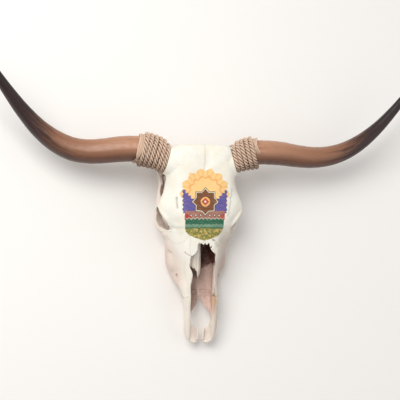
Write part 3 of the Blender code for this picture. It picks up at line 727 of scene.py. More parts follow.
def ball_depth(points, centre, radii, turn):
    """How far a point is from an ellipsoid's centre, 1 on its surface."""
    x, u, depth = (points - centre).T
    along, across = x * math.cos(turn) + u * math.sin(turn), u * math.cos(turn) - x * math.sin(turn)
    return np.sqrt((along / radii[0]) ** 2 + (across / radii[1]) ** 2 + (depth / radii[2]) ** 2)


def passage_depth(points, rows=60, columns=72):
    """How far a point is from the middle of the nasal passage, 1 on its wall."""
    first, last = PASSAGE[0][0], PASSAGE[-1][0]
    ring = sections(PASSAGE, np.linspace(first, last, rows), columns)
    middle = ring.mean(axis=1)
    spoke = ring - middle[:, None]
    angle = np.arctan2(spoke[..., 1], spoke[..., 0])
    reach = np.linalg.norm(spoke, axis=-1)
    order = np.argsort(angle, axis=1)
    bins = np.linspace(-np.pi, np.pi, columns)
    table = np.array([np.interp(bins, a[o], r[o], period=2 * np.pi) for a, r, o in zip(angle, reach, order)])
    row = np.clip((points[:, 1] - first) / (last - first) * (rows - 1), 0, rows - 1.001)
    i, t = row.astype(int), row % 1
    heart = middle[i] * (1 - t)[:, None] + middle[i + 1] * t[:, None]
    away = points[:, [0, 2]] - heart
    column = (np.arctan2(away[:, 1], away[:, 0]) + np.pi) / (2 * np.pi) * (columns - 1)
    j = np.clip(column.astype(int), 0, columns - 2)
    s = column - j
    wall = (
        table[i, j] * (1 - t) * (1 - s) + table[i + 1, j] * t * (1 - s)
        + table[i, j + 1] * (1 - t) * s + table[i + 1, j + 1] * t * s
    )
    ahead = np.maximum(first - points[:, 1], 0) / 20
    return np.linalg.norm(away, axis=1) / wall + ahead


def hollow_mask(points):
    """1 on the walls of the nose, but not on its vomer, and 1 on those of the orbits and temples."""
    x, u, depth = points.T
    within = np.minimum(passage_depth(points), passage_depth(points - PASSAGE_WIDER))
    vomer = ramp(4.2 - np.abs(x - sum(VOMER_SIDES) / 2), 0, 1.4) * (1 - ramp(depth, 62, 84))
    nose = (1 - ramp(within, *NOSE_FADE)) * ramp(depth, 15, 23) * (1 - vomer)
    nose = nose * (1 - ramp(u, 440, 490))
    side = np.abs(x)
    folded = np.column_stack([side, u, depth])
    pits = [1 - ramp(ball_depth(folded, *hollow), *PIT_FADE) for hollow in HOLLOWS[:-1]]
    temple = ramp(depth, 34, 52) * (1 - ramp(depth, 120, 150)) * ramp(u, 52, 70) * (1 - ramp(u, 160, 172))
    pits.append(temple * ramp(side, 50, 58) * (1 - ramp(side, 92, 98)))
    return nose, np.max(pits, axis=0)


# Bone


def build_skull(sizes):
    """Cranium, face and premaxillae as one bone, with the orbits, nose and foramen magnum cut out."""
    rim = closed_curve(np.array(ORBIT_RIM, float), 160)
    rim_centre = rim.mean(axis=0)
    across = np.cross(rim[40] - rim_centre, rim[0] - rim_centre)
    flat = np.array((0.0, 0.0, 1.0))
    sideways = np.array((1.0, 0.0, 0.0))
    paired = [
        tube(rim, RIM_RADIUS, across, cyclic=True),
        tube(smooth_path(MALAR, 50), MALAR_RADIUS, flat),
        tube(smooth_path(ARCH, 70), ARCH_RADIUS, flat),
        tube(smooth_path(PEDICLE, 50), PEDICLE_RADIUS, flat, 72),
        tube(smooth_path(PTERYGOID, 30), np.linspace(*PTERYGOID_RADII, 30), sideways),
    ]
    paired += [ellipsoid(*swelling) for swelling in SWELLINGS]
    shells = [loft(ROOF), loft(BRAINCASE), loft(MUZZLE), ellipsoid(*PROTUBERANCE)] + both(paired)
    skull = fused(shown("Skull", mesh_of("Skull", shells)), sizes.grain, sizes.rounding)
    hollows = both([ellipsoid(*hollow) for hollow in HOLLOWS])
    points, faces = loft(PASSAGE)
    hollows += [(points, faces), (points + PASSAGE_WIDER, faces), loft(CHOANAE)]
    hollows.append(tube(smooth_path(MAGNUM, 30), MAGNUM_RADIUS, sideways, 48))
    carved(skull, hollows + [block((-90, NOSE_PART + 3, -60), (90, 520, 160))])
    carved(skull, both([premaxilla_shell()]), "UNION")
    fused(skull, sizes.grain, sizes.rounding // 2)
    points, faces = prism(VOMER, *VOMER_SIDES)
    nub = tube(smooth_path(NUB, 30), np.linspace(NUB_ROOT, NUB_TIP, 30), flat)
    carved(skull, [(points[:, [2, 0, 1]], faces)] + both([nub]), "UNION")
    carved(skull, [prism(NOSE_OPENING, -40, 44)] + [seat_shell(side) for side in (-1, 1)])
    return largest(skull)


def seat_shell(side, inward=False):
    """Round block outside the plane where a horn meets its pedicle, or inside it."""
    out, _, nose = wrap_axis(side)
    reach = np.linspace(-SEAM / 2, SEAT_REACH, 4) * (-1 if inward else 1)
    return tube(np.array(SEAT[side]) + np.outer(reach, out), SEAT_RADIUS, nose, 60)


def floor_shell():
    """Everything under the floor, as a box in the skull's frame."""
    points, faces = block((-900, -900, -400), (900, 900, -SEAM / 100))
    world = points * MM
    back = np.array(FACE.inverted())
    return world @ back[:3, :3].T + back[:3, 3], faces


def wrap_axis(side):
    """Unit vectors out along a wrap and across it: towards the viewer, towards the nose."""
    out = unit(np.array((side * math.cos(WRAP_LEAN), -math.sin(WRAP_LEAN), WRAP_DIP[side])))
    nose = np.array((side * math.sin(WRAP_LEAN), math.cos(WRAP_LEAN), 0.0))
    return out, np.cross(nose, out) * side, nose


def suture_cutter(part, ahead):
    """Solid ahead of a suture, or behind it: its near wall winds as a sheet u = part + waves of x
    and depth."""
    x, depth = np.meshgrid(np.linspace(-150, 150, 260), np.linspace(-60, 200, 160))
    wall = part + 2.2 * np.sin(x / 11) + 1.2 * np.sin(x / 2.3 + 1) * np.sin(depth / 9) + np.sin(depth / 2.6)
    wall = wall - (SEAM / 2 if ahead else -SEAM / 2)
    far = np.full_like(wall, 620.0 if ahead else -120.0)
    near_sheet, far_sheet = (np.stack([x, u, depth], -1) for u in (wall, far))
    points, faces = skin(np.array([border(near_sheet), border(far_sheet)]))
    sides = points, [face for face in faces if len(face) == 4] + [faces[-1]]
    return merge([sheet(near_sheet), sides])


def finish_bone(obj, marks):
    """Sutures, vessels and unevenness pressed into the surface, and masks for the stains and painted shade.
    """
    mesh = obj.data
    points = points_of(mesh)
    outer = ramp(-triples(mesh.vertex_normals, "vector")[:, 2], -0.25, 0.35)
    nose, pits = hollow_mask(points)
    outside = (1 - nose) * (1 - pits)
    depth, mark = grooves(points, marks)
    depth = depth + sum(dent(points, *hole) for hole in (POLL_DENT, *FORAMINA))
    push(mesh, unevenness(points) * (0.3 + 0.7 * outside) - depth * outer * outside)
    note(mesh, "seam", mark * outer * outside)
    note(mesh, "nose", nose)
    note(mesh, "pit", pits)
    return obj


def all_marks():
    """Every line pressed into the bone, those of the sides on both."""
    sided = [(tuple((side * x, u) for x, u in line), *rest)
             for line, *rest in SIDE_SUTURES for side in (-1, 1)]
    return [*MIDDLE_SUTURES, *sided, *SCRATCHES, *VESSELS]


def premaxilla_shell():
    """Slim bar of the nose tip with its plate of palate and rounded end: a closed section of ten
    corners at each u, read from the outline and depth table."""
    rows = np.array(PREMAXILLA, float)
    at = np.linspace(rows[0, 0], rows[-1, 0], 150)
    inner, outer, top, under = hermite(rows[:, 0], rows[:, 1:], at).T
    rim = np.minimum(outer - 3, np.maximum(inner + 3, RIM_INNER))
    floor = under - 6
    corners = np.stack([np.stack(pair, -1) for pair in (
        (outer, (top + under) / 2 - 2),
        (outer - 3, under - 4),
        ((inner + outer) / 2, under),
        (inner + 1, under - 1),
        (inner, under - 4),
        (np.minimum(inner + 2, rim), np.where(inner < 24, floor, top + 8)),
        (rim - 1, np.where(inner < 20, floor - 4, top + 5)),
        (rim + 1, top + 1),
        ((rim + outer) / 2, top),
        (outer - 2, top + 7),
    )], axis=1)
    return carried(closed_curve(corners, 120), at)


def tooth_shell(middle, x, gum, length, width, crown, lobes, rows=30, columns=88):
    """One crown: a ribbed superellipse section carried down from the gum, its table a grid drawn in
    towards the middle with two crescent valleys."""
    angle = np.linspace(0, 2 * np.pi, columns, endpoint=False)
    share = np.linspace(0, 1, rows)[:, None]
    along = (length / 2 + 0.3) * np.sign(np.cos(angle)) * np.abs(np.cos(angle)) ** 0.6
    across = width / 2 * np.sign(np.sin(angle)) * np.abs(np.sin(angle)) ** 0.6
    waist = 1 - 0.17 * np.cos(lobes * np.pi * along / length) ** 2
    ribs = 1 + 0.05 * np.cos(2 * np.pi * along / length * (lobes + 1))
    swell = 0.86 + 0.14 * np.sin(np.pi / 2 * np.clip(share / 0.45, 0, 1)) - 0.05 * ramp(share, 0.9, 1.0)
    down = np.broadcast_to(gum - 4 + share * (crown + 4), (rows, columns))
    ring = np.stack([x + across * waist * ribs * swell, middle + along * swell, down], -1)
    inward = np.linspace(1, 0.04, 12)[1:, None]
    last = ring[-1]
    local = np.stack([(last[:, 0] - x), (last[:, 1] - middle)], -1)[None] * inward[..., None]
    ripple = np.cos(local[..., 1] / length * 2 * np.pi * lobes)
    valley = 1.6 * np.exp(-((inward - 0.52) / 0.13) ** 2) * (0.5 - 0.5 * ripple)
    valley = valley - 0.5 * np.exp(-((inward - 0.80) / 0.1) ** 2)
    table = np.stack([local[..., 0] + x, local[..., 1] + middle, last[None, :, 2] - valley], -1)
    return skin(np.concatenate([ring, table]))


def teeth_shells():
    """Six cheek teeth in a row, front premolar first."""
    front, shells = TOOTH_ROW_FRONT, []
    rows_x, rows_d = np.array(TOOTH_ROW_X, float)[::-1], np.array(GUM_DEPTH, float)[::-1]
    for number, (length, width, crown) in enumerate(CHEEK_TEETH):
        middle = front - length / 2
        x, gum = np.interp(middle, *rows_x.T), np.interp(middle, *rows_d.T)
        shells.append(tooth_shell(middle, x, gum, length, width, crown, 1 if number < 3 else 2))
        front -= length - TOOTH_OVERLAP
    return shells


def concha_shell(side, reach, rows=60, columns=36):
    """Thin scroll of bone hung from the side wall of the nose: a sheet x = across, depth rising in
    an arch, with a ragged lower end."""
    t, s = np.meshgrid(np.linspace(0, 1, rows), np.linspace(0, 1, columns), indexing="ij")
    ragged = reach + 12 * s + 24 * s**6 + 2.5 * np.sin(s * 23) + 1.5 * np.sin(s * 51 + 1)
    u = 252 + (ragged - 252) * t
    x = -30 + 25 * s
    depth = 21 + 17 * t + 8 * np.cos(np.pi * s) ** 2 * (0.3 + 0.7 * t) + 1.2 * np.sin(u / 7) * s
    return np.stack([x * -side, u, depth], -1)


# Materials


class Value:
    """A number that changes over the surface, with the arithmetic of Math nodes."""

    def __init__(self, tree, socket):
        self.tree, self.socket = tree, socket

    def math(self, operation, *others):
        node = self.tree.nodes.new("ShaderNodeMath")
        node.operation = operation
        for slot, value in zip(node.inputs, (self, *others)):
            feed(self.tree, slot, value)
        return Value(self.tree, node.outputs[0])

    def __rsub__(self, other):
        return (self * -1.0).math("ADD", other)

    __add__ = __radd__ = partialmethod(math, "ADD")
    __sub__ = partialmethod(math, "SUBTRACT")
    __mul__ = __rmul__ = partialmethod(math, "MULTIPLY")
    __truediv__ = partialmethod(math, "DIVIDE")
    __abs__ = partialmethod(math, "ABSOLUTE")
    least = partialmethod(math, "MINIMUM")
    most = partialmethod(math, "MAXIMUM")
    floor = partialmethod(math, "FLOOR")

    def wave(self, period):
        """Triangle wave between 0 and 1."""
        return self.math("PINGPONG", period / 2) * (2 / period)

    def step(self, low, high):
        """Smooth step from 0 at low to 1 at high."""
        node = self.tree.nodes.new("ShaderNodeMapRange")
        node.interpolation_type = "SMOOTHSTEP"
        for key, value in (("Value", self), ("From Min", low), ("From Max", high)):
            feed(self.tree, node.inputs[key], value)
        return Value(self.tree, node.outputs["Result"])


def feed(tree, slot, value):
    """Link a value to a socket, or write it there."""
    if isinstance(value, Value):
        value = value.socket
    if isinstance(value, bpy.types.NodeSocket):
        tree.links.new(value, slot)
    elif slot.type == "RGBA" and len(value) == 3:
        slot.default_value = (*value, 1.0)
    else:
        slot.default_value = value


def put(tree, kind, inputs, **settings):
    """A new node with its settings and inputs."""
    node = tree.nodes.new(kind)
    for key, value in settings.items():
        setattr(node, key, value)
    for key, value in inputs.items():
        feed(tree, node.inputs[key], value)
    return node


def blend(tree, factor, first, second):
    """Colour from first to second."""
    node = tree.nodes.new("ShaderNodeMix")
    node.data_type = "RGBA"
    for slot, value in zip((node.inputs[0], node.inputs[6], node.inputs[7]), (factor, first, second)):
        feed(tree, slot, value)
    return node.outputs[2]


def noise(tree, vector, scale, detail=3.0, rough=0.55):
    inputs = {"Vector": vector, "Scale": scale, "Detail": detail, "Roughness": rough}
    return Value(tree, put(tree, "ShaderNodeTexNoise", inputs).outputs["Fac"])


def attribute(tree, name):
    return put(tree, "ShaderNodeAttribute", {}, attribute_name=name)


def number(tree, name):
    return Value(tree, attribute(tree, name).outputs["Fac"])


def split(tree, vector):
    node = put(tree, "ShaderNodeSeparateXYZ", {0: vector})
    return [Value(tree, out) for out in node.outputs]


def join(tree, x, y, z):
    return put(tree, "ShaderNodeCombineXYZ", {0: x, 1: y, 2: z}).outputs[0]


def group(name, inputs, outputs, build):
    """Shader node group with named sockets, filled by build(tree, input sockets, output node)."""
    tree = bpy.data.node_groups.new(name, "ShaderNodeTree")
    for key, kind, default in inputs:
        socket = tree.interface.new_socket(key, in_out="INPUT", socket_type="NodeSocket" + kind)
        if default is not None:
            socket.default_value = default
    for key, kind in outputs:
        tree.interface.new_socket(key, in_out="OUTPUT", socket_type="NodeSocket" + kind)
    enter, leave = tree.nodes.new("NodeGroupInput"), tree.nodes.new("NodeGroupOutput")
    for key, value in build(tree, enter.outputs).items():
        feed(tree, leave.inputs[key], value)
    return tree


def use(tree, shared, **inputs):
    """Place a shared group in a tree; underscores in names stand for spaces."""
    node = tree.nodes.new("ShaderNodeGroup")
    node.node_tree = shared
    for key, value in inputs.items():
        feed(tree, node.inputs[key.replace("_", " ")], value)
    return {out.name: Value(tree, out) for out in node.outputs}


def build_frame_group(tree, given):
    """Object coordinates turned back into the skull's own frame, in millimetres."""
    node = put(tree, "ShaderNodeMapping", {
        "Vector": given["Vector"], "Location": (SHIFT_X, SHIFT_Y, FOREHEAD_HEIGHT), "Rotation": (TILT, 0, 0),
        "Scale": (MM, -MM, -MM),
    }, vector_type="TEXTURE")
    return {"Vector": node.outputs[0]}


def build_pores_group(tree, given):
    """Small round pores: cells of a Voronoi pattern that a noise lets through."""
    cells = put(tree, "ShaderNodeTexVoronoi", {"Vector": given["Vector"], "Scale": given["Scale"]})
    near = Value(tree, cells.outputs["Distance"]).step(0.05, 0.32)
    patches = noise(tree, given["Vector"], 0.035, 2.0).step(0.45, 0.62)
    mask = (1.0 - near) * patches * Value(tree, given["Amount"])
    return {"Mask": mask, "Height": mask * -1.0}


def build_streaks_group(tree, given):
    """Fine streaks along a grain: two noises of a vector that hardly changes along it."""
    broad = noise(tree, given["Vector"], Value(tree, given["Scale"]), 2.0)
    fine = noise(tree, given["Vector"], Value(tree, given["Scale"]) * 4.3, 3.0)
    streaks = broad * 0.6 + fine * 0.4
    return {"Mask": streaks.step(0.34, 0.66), "Height": streaks}


def build_panel_group(tree, given):
    """The painted panel, mirrored about the suture: a rayed sun over stepped bands, an eight-pointed
    star on a rust band, and a toothed green foot that fades into olive."""
    paint = bpy.context.scene.skull_paint
    shake = noise(tree, given["Vector"], 0.09, 3.0)
    x0, u0, depth = split(tree, given["Vector"])
    x = abs(x0 - PANEL_X + (shake - 0.5) * 3.0)
    u = u0 + (noise(tree, given["Vector"], 0.07, 2.0) - 0.5) * 4.0
    color, cover = paint.sun, Value(tree, put(tree, "ShaderNodeValue", {}).outputs[0])
    cover.socket.default_value = 0.0

    def layer(inside, shade, strength=1.0):
        nonlocal color, cover
        mask = inside.step(-0.35, 0.35) * strength
        color = blend(tree, mask, color, shade)
        cover = cover.most(mask)

    angle = x.math("ARCTAN2", SUN_U - u)
    reach = (x * x + (u - SUN_U) * (u - SUN_U)).math("SQRT")
    rays = angle.wave(math.pi / 7)
    sunlit = (62.0 + rays * 9.0 - reach).least(160.0 - u)
    layer(sunlit, paint.sun)
    layer((44.0 + rays * 8.0 - reach).least(150.0 - u), paint.glow)
    layer((40.0 + rays * 5.0 - reach).least(150.0 - u), paint.sun)
    spokes = (0.10 - abs(rays - 0.5)).least((66.0 - reach) * 0.1).least((reach - 50.0) * 0.1)
    layer(spokes.least(150.0 - u) * 6.0, paint.glow, 0.8)

    stair = ((x - 17.0) / 7.5).floor()
    shelf = 161.0 - stair * 8.0
    flank = (u - shelf).least(184.0 - u).least(x - 17.0).least(59.5 + (u * 0.5).wave(6.0) * 4.0 - x)
    layer(flank, paint.violet)
    layer(flank.least(0.9 - abs((u + stair * 8.0).math("PINGPONG", 5.0) - 2.5)), paint.night)

    layer((56.0 - x).least(u - 178.0).least(202.0 - u), paint.rust)
    layer((x - 40.0).least((u - 186.0) - (56.0 - x) * 0.6 + 3.0).least(202.0 - u).least(56.0 - x), paint.red)
    bead = 4.2 - x.math("PINGPONG", 6.5) - abs(u - 190.0) * 0.9
    layer(bead.least(50.0 - x), paint.umber)
    layer((bead - 1.9).least(50.0 - x), paint.cream)

    y = abs(u - STAR_U)
    square, diamond = x.most(y), (x + y) * (1 / math.sqrt(2))
    star = square.least(diamond)
    layer(27.5 - star, paint.umber)
    layer(26.0 - star, paint.cream)
    layer(24.2 - star, paint.brown)
    away = (x * x + y * y).math("SQRT")
    layer(14.5 - away, paint.umber)
    layer(13.2 - away, paint.glow)
    layer(10.5 - (x + y), paint.red)
    layer(4.0 - (x + y), paint.cream)

    zigzag = x.wave(11.0) * 5.0
    foot = 54.0 * (1.0 - ((u - 205.0) / 53.0).most(0.0).math("POWER", 4.5)).most(0.0) - x
    layer((u - 196.0 - zigzag).least(foot), paint.green)
    layer((u - 213.0 - zigzag * 0.5).least(221.0 - u + zigzag * 0.5).least(foot), paint.sage)
    leaf = noise(tree, given["Vector"], 0.19, 3.0)
    layer((u - 223.0 - zigzag * 0.8 - (leaf - 0.5) * 14.0).least(foot), paint.olive)
    layer((u - 226.0).least(foot).least((leaf - 0.56) * 18.0), paint.sun, 0.55)
    layer((u - 218.0).least(foot).least((0.42 - leaf) * 18.0), paint.green, 0.7)
    layer((0.7 - abs(u - 196.0 - zigzag)).least(foot), paint.cream)

    worn = noise(tree, given["Vector"], 0.30, 5.0, 0.7).step(0.66, 0.72)
    on_top = 1.0 - depth.step(32.0, 40.0)
    strokes = noise(tree, join(tree, x0 * 0.05, u0 * 0.6, 0.0), 1.0, 3.0)
    return {"Color": blend(tree, (strokes - 0.5).most(0.0) * 0.9, color, paint.cream),
            "Cover": cover * on_top * (1.0 - worn * 0.75), "Height": strokes}


def new_material(name):
    material = bpy.data.materials.new(name)
    material.use_nodes = True
    tree = material.node_tree
    return material, tree, tree.nodes["Principled BSDF"]


def finish(tree, shader, color, rough, height, strength, distance):
    """Give a shader its colour, roughness and bump."""
    feed(tree, shader.inputs["Base Color"], color)
    feed(tree, shader.inputs["Roughness"], rough)
    node = put(tree, "ShaderNodeBump", {"Height": height, "Strength": strength, "Distance": distance})
    feed(tree, shader.inputs["Normal"], node.outputs[0])


def skull_place(tree):
    """Object coordinates in the skull's own frame."""
    coordinates = put(tree, "ShaderNodeTexCoord", {}).outputs["Object"]
    return use(tree, shared_groups()["Skull frame"], Vector=coordinates)["Vector"]


def shared_groups():
    """The node groups that the materials share, built once."""
    made = bpy.data.node_groups
    if "Skull frame" not in made:
        group("Skull frame", [("Vector", "Vector", None)], [("Vector", "Vector")], build_frame_group)
        group("Pores", [("Vector", "Vector", None), ("Scale", "Float", 0.5), ("Amount", "Float", 1.0)],
              [("Mask", "Float"), ("Height", "Float")], build_pores_group)
        group("Streaks", [("Vector", "Vector", None), ("Scale", "Float", 4.0)],
              [("Mask", "Float"), ("Height", "Float")], build_streaks_group)
        group("Painted panel", [("Vector", "Vector", None)],
              [("Color", "Color"), ("Cover", "Float"), ("Height", "Float")], build_panel_group)
    return made


def bone_material(name, painted, stain_ochre=False):
    """Bleached bone: chalk and ivory in broad clouds, painted shade low down, stain and painted shade
    inside, pores and fine cracks, with the painted panel over it where asked."""
    bone, made = bpy.context.scene.skull_bone, shared_groups()
    material, tree, shader = new_material(name)
    place = skull_place(tree)
    x, u, depth = split(tree, place)
    clouds = noise(tree, place, 0.022, 4.0)
    color = blend(tree, clouds.step(0.35, 0.65), bone.ivory, bone.chalk)
    # Painted shade: the bone darkens deeper below the forehead and towards the nose, broken up by the
    # clouds.
    low = depth.step(18.0, 120.0) * 0.75 + u.step(180.0, 330.0) * 0.35 + (clouds - 0.5) * 0.5
    color = blend(tree, low.step(0.1, 1.0), color, bone.shade)
    blotch = noise(tree, place, 0.06, 5.0, 0.65).step(0.58, 0.75)
    color = blend(tree, blotch * 0.28, color, bone.shade)
    seam, nose, pit = (number(tree, key) for key in ("seam", "nose", "pit"))
    inner = noise(tree, place, 0.12, 4.0)
    # Inside the nose: marrow stain mixed with painted shade. far marks the painted shadow under the nasal
    # roof at the back of the passage; right of the vomer the floor turns paler pink, more so towards the
    # front.
    stained = blend(tree, (inner - 0.5) * 0.6 + 0.35, bone.marrow_stain_and_shade, bone.shade)
    ragged = u + (noise(tree, place, 0.08, 3.0) - 0.5) * 16.0 + x * 0.45
    far = (1.0 - ragged.step(340.0, 349.0)) * x.step(-4.0, 2.0) + (1.0 - u.step(262.0, 300.0))
    rosy = x.step(-3.0, 4.0) * (0.20 + u.step(335.0, 430.0) * 0.42 + inner * 0.36)
    stained = blend(tree, rosy, stained, bone.blush)
    far_shade_color = blend(tree, inner.step(0.4, 0.7), bone.deep_shade, bone.marrow_stain_and_shade)
    stained = blend(tree, far.least(1.0), stained, far_shade_color)
    # Painted shade on the right side of the face, between the orbit and the nose.
    color = blend(tree, x.step(25.0, 62.0) * u.step(215.0, 262.0) * 0.40, color, bone.marrow_stain_and_shade)
    color = blend(tree, nose, color, stained)
    # Painted shade in the orbits and temples, weaker towards the front of the orbits and on the right side.
    orbit = u.step(160.0, 180.0) * 0.35
    hollow = pit * (0.6 + inner * 0.5 - orbit) * (1.0 - x.step(50.0, 70.0) * 0.6)
    color = blend(tree, hollow, color, bone.marrow_stain_and_shade)
    color = blend(tree, seam * 0.8, color, bone.marrow_stain_and_shade)
    pores = use(tree, made["Pores"], Vector=place, Scale=0.42, Amount=1.0)
    fine = use(tree, made["Pores"], Vector=place, Scale=1.1, Amount=0.6)
    color = blend(tree, pores["Mask"] * 0.45, color, bone.marrow_stain_and_shade)
    if stain_ochre:
        grit = noise(tree, place, 0.42, 5.0, 0.75)
        patch = (grit * 80.0 - 24.0 - abs(u - 428.0) * 0.42 - abs(x - 40.0) * 1.7).step(0.0, 12.0)
        color = blend(tree, patch * 0.65, color, bone.ochre)
    # Painted shade on the underside of the nose tip.
    color = blend(tree, u.step(522.0, 540.0) * depth.step(60.0, 68.0) * 0.3, color, bone.marrow_stain_and_shade)
    rough = clouds * 0.18 + 0.48
    height = (pores["Height"] * 0.9 + fine["Height"] * 0.35
              + noise(tree, place, 0.35, 6.0, 0.7) * 0.5)
    if painted:
        panel = use(tree, made["Painted panel"], Vector=place)
        cover = panel["Cover"] * (1.0 - nose) * (1.0 - pit)
        color = blend(tree, cover, color, panel["Color"])
        rough = rough - cover * 0.08
        height = height + cover * 0.35 + panel["Height"] * cover * 0.25
    finish(tree, shader, color, rough, height, 0.55, 0.0009)
    return material


def tooth_material():
    """Stained enamel with a brown tide line at the gum and dark valleys."""
    bone = bpy.context.scene.skull_bone
    material, tree, shader = new_material("Tooth")
    place = skull_place(tree)
    x, u, depth = split(tree, place)
    cloud = noise(tree, place, 0.16, 4.0)
    color = blend(tree, cloud.step(0.3, 0.7), bone.tooth, bone.ivory)
    gum = number(tree, "gum")
    color = blend(tree, gum * (0.4 + cloud * 0.6), color, bone.marrow_stain_and_shade)
    lines = noise(tree, join(tree, x * 0.9, u * 0.9, depth * 0.06), 0.5, 3.0)
    color = blend(tree, lines.step(0.55, 0.7) * 0.3, color, bone.marrow_stain_and_shade)
    finish(tree, shader, color, cloud * 0.2 + 0.28, lines + cloud * 0.4, 0.35, 0.0006)
    return material


def horn_material():
    """Horn that darkens towards its tip, with painted shade on the side that faces the nose, streaks along
    it and faint growth rings.
    """
    horn, made = bpy.context.scene.skull_horn, shared_groups()
    material, tree, shader = new_material("Horn")
    grain = attribute(tree, "grain").outputs["Vector"]
    along = number(tree, "along")
    streaks = use(tree, made["Streaks"], Vector=grain, Scale=3.4)
    thin = use(tree, made["Streaks"], Vector=grain, Scale=11.0)
    reach = along + (streaks["Mask"] - 0.5) * 0.09
    low = number(tree, "low")
    # Painted shade: the side that faces the nose, where low is high, is darker and turns to the middle and
    # dark colours sooner.
    color = blend(tree, (reach + low * 0.06).step(0.07, 0.27), horn.base, horn.middle)
    color = blend(tree, low.step(-0.2, 0.9) * 0.95, color, horn.under)
    color = blend(tree, thin["Mask"] * 0.26, color, horn.middle)
    color = blend(tree, (1.0 - streaks["Mask"]) * 0.30, color, horn.under)
    color = blend(tree, (reach + low * 0.05).step(0.27, 0.45), color, horn.dark)
    color = blend(tree, reach.step(0.46, 0.66), color, horn.tip)
    height = thin["Height"] + streaks["Height"] * 0.5
    finish(tree, shader, color, thin["Mask"] * 0.16 + 0.30, height, 0.4, 0.0008)
    return material


def rope_material():
    """Laid fibre rope: pale fibres on the crowns of the strands, painted shade between them and on the side
    that faces the nose.
    """
    rope, made = bpy.context.scene.skull_rope, shared_groups()
    material, tree, shader = new_material("Rope")
    fibres = use(tree, made["Streaks"], Vector=attribute(tree, "grain").outputs["Vector"], Scale=5.0)
    crown = number(tree, "crown")
    # Painted shade: darker between the strands, where crown is low.
    tone = crown.step(0.50, 0.98) * 0.66 + fibres["Mask"] * 0.38
    color = blend(tree, tone.least(1.0), rope.dark, rope.light)
    # Painted shade on the side that faces the nose.
    nose_side_shade_mask = number(tree, "low").step(0.2, 1.0) * (1.0 - tone * 0.4)
    color = blend(tree, nose_side_shade_mask * 0.85, color, rope.nose_side_shade)
    finish(tree, shader, color, 0.88, fibres["Height"], 0.8, 0.0012)
    return material


def floor_material(color):
    material, tree, shader = new_material("Floor")
    speck = noise(tree, put(tree, "ShaderNodeTexCoord", {}).outputs["Object"], 3.0, 2.0)
    shader.inputs["Base Color"].default_value = (*color, 1.0)
    feed(tree, shader.inputs["Roughness"], speck * 0.05 + 0.8)
    return material


# Operators


class SkullPiece:
    """What the piece operators share."""
    bl_options = {"REGISTER", "UNDO"}


class SKULL_OT_bone(SkullPiece, bpy.types.Operator):
    """Fuse the bone, part cranium, face and premaxillae at their sutures, and give them their stains and
    painted shade
    """
    bl_idname = "skull.bone"
    bl_label = "Cranium, face and premaxillae"

    def execute(self, context):
        whole = build_skull(context.scene.skull_bone)
        ahead, behind = suture_cutter(FACE_PART, True), suture_cutter(FACE_PART, False)
        tip_ahead, tip_behind = suture_cutter(NOSE_PART, True), suture_cutter(NOSE_PART, False)
        halves = [block((-120, -200, -100), (0, 700, 300)), block((0, -200, -100), (120, 700, 300))]
        floor = floor_shell()
        for node, cutters in (
            ("cranium", [ahead, floor]), ("face", [behind, tip_ahead, floor]),
            ("premaxilla_left", [tip_behind, halves[1]]), ("premaxilla_right", [tip_behind, halves[0]]),
        ):
            obj = carved(shown("dressed_" + node, whole.data.copy()), cutters)
            largest(obj)
            if not obj.data.polygons:
                raise RuntimeError(f"The {node} is empty after it was parted")
            finish_bone(obj, all_marks())
            painted, stained = node in ("cranium", "face"), node in ("face", "premaxilla_right")
            placed(obj, bone_material("Bone " + node, painted, stained))
            hand_over(obj, "bone", node)
        bpy.data.objects.remove(whole)
        return {"FINISHED"}


class SKULL_OT_conchae(SkullPiece, bpy.types.Operator):
    """Hang the thin scrolls of bone inside the nose"""
    bl_idname = "skull.conchae"
    bl_label = "Conchae"

    def execute(self, context):
        material = bone_material("Concha", False)
        for name, side, reach, drop, stain in CONCHAE:
            grid = concha_shell(side, reach) + (0, 0, drop)
            thick = np.stack([grid, grid + (0, 0, CONCHA_THICK)])
            points, faces = skin(np.array([border(layer) for layer in thick]))
            walls = points, [face for face in faces if len(face) == 4]
            obj = shown(name, mesh_of(name, [sheet(layer) for layer in thick] + [walls]))
            count = len(obj.data.vertices)
            # The nose value sets how much of the nose's stain and painted shade a concha takes.
            for key, value in (("seam", 0.0), ("nose", stain), ("pit", 0.0)):
                note(obj.data, key, np.full(count, value))
            hand_over(placed(obj, material), "bone")
        return {"FINISHED"}


class SKULL_OT_teeth(SkullPiece, bpy.types.Operator):
    """Set the two rows of cheek teeth"""
    bl_idname = "skull.teeth"
    bl_label = "Cheek teeth"

    def execute(self, context):
        material = tooth_material()
        for side, node in ((-1, "teeth_left"), (1, "teeth_right")):
            shells = teeth_shells() if side > 0 else [mirror(shell) for shell in teeth_shells()]
            obj = shown("dressed_" + node, mesh_of(node, shells))
            points = points_of(obj.data)
            floor_depth = (FOREHEAD_HEIGHT / MM - points[:, 1] * math.sin(TILT)) / math.cos(TILT)
            points[:, 2] = np.minimum(points[:, 2], floor_depth)
            set_points(obj.data, points)
            gum = np.interp(points[:, 1], *np.array(GUM_DEPTH, float)[::-1].T)
            note(obj.data, "gum", 1 - ramp(points[:, 2] - gum, 1.0, 9.0))
            hand_over(placed(obj, material), "tooth", node)
        return {"FINISHED"}


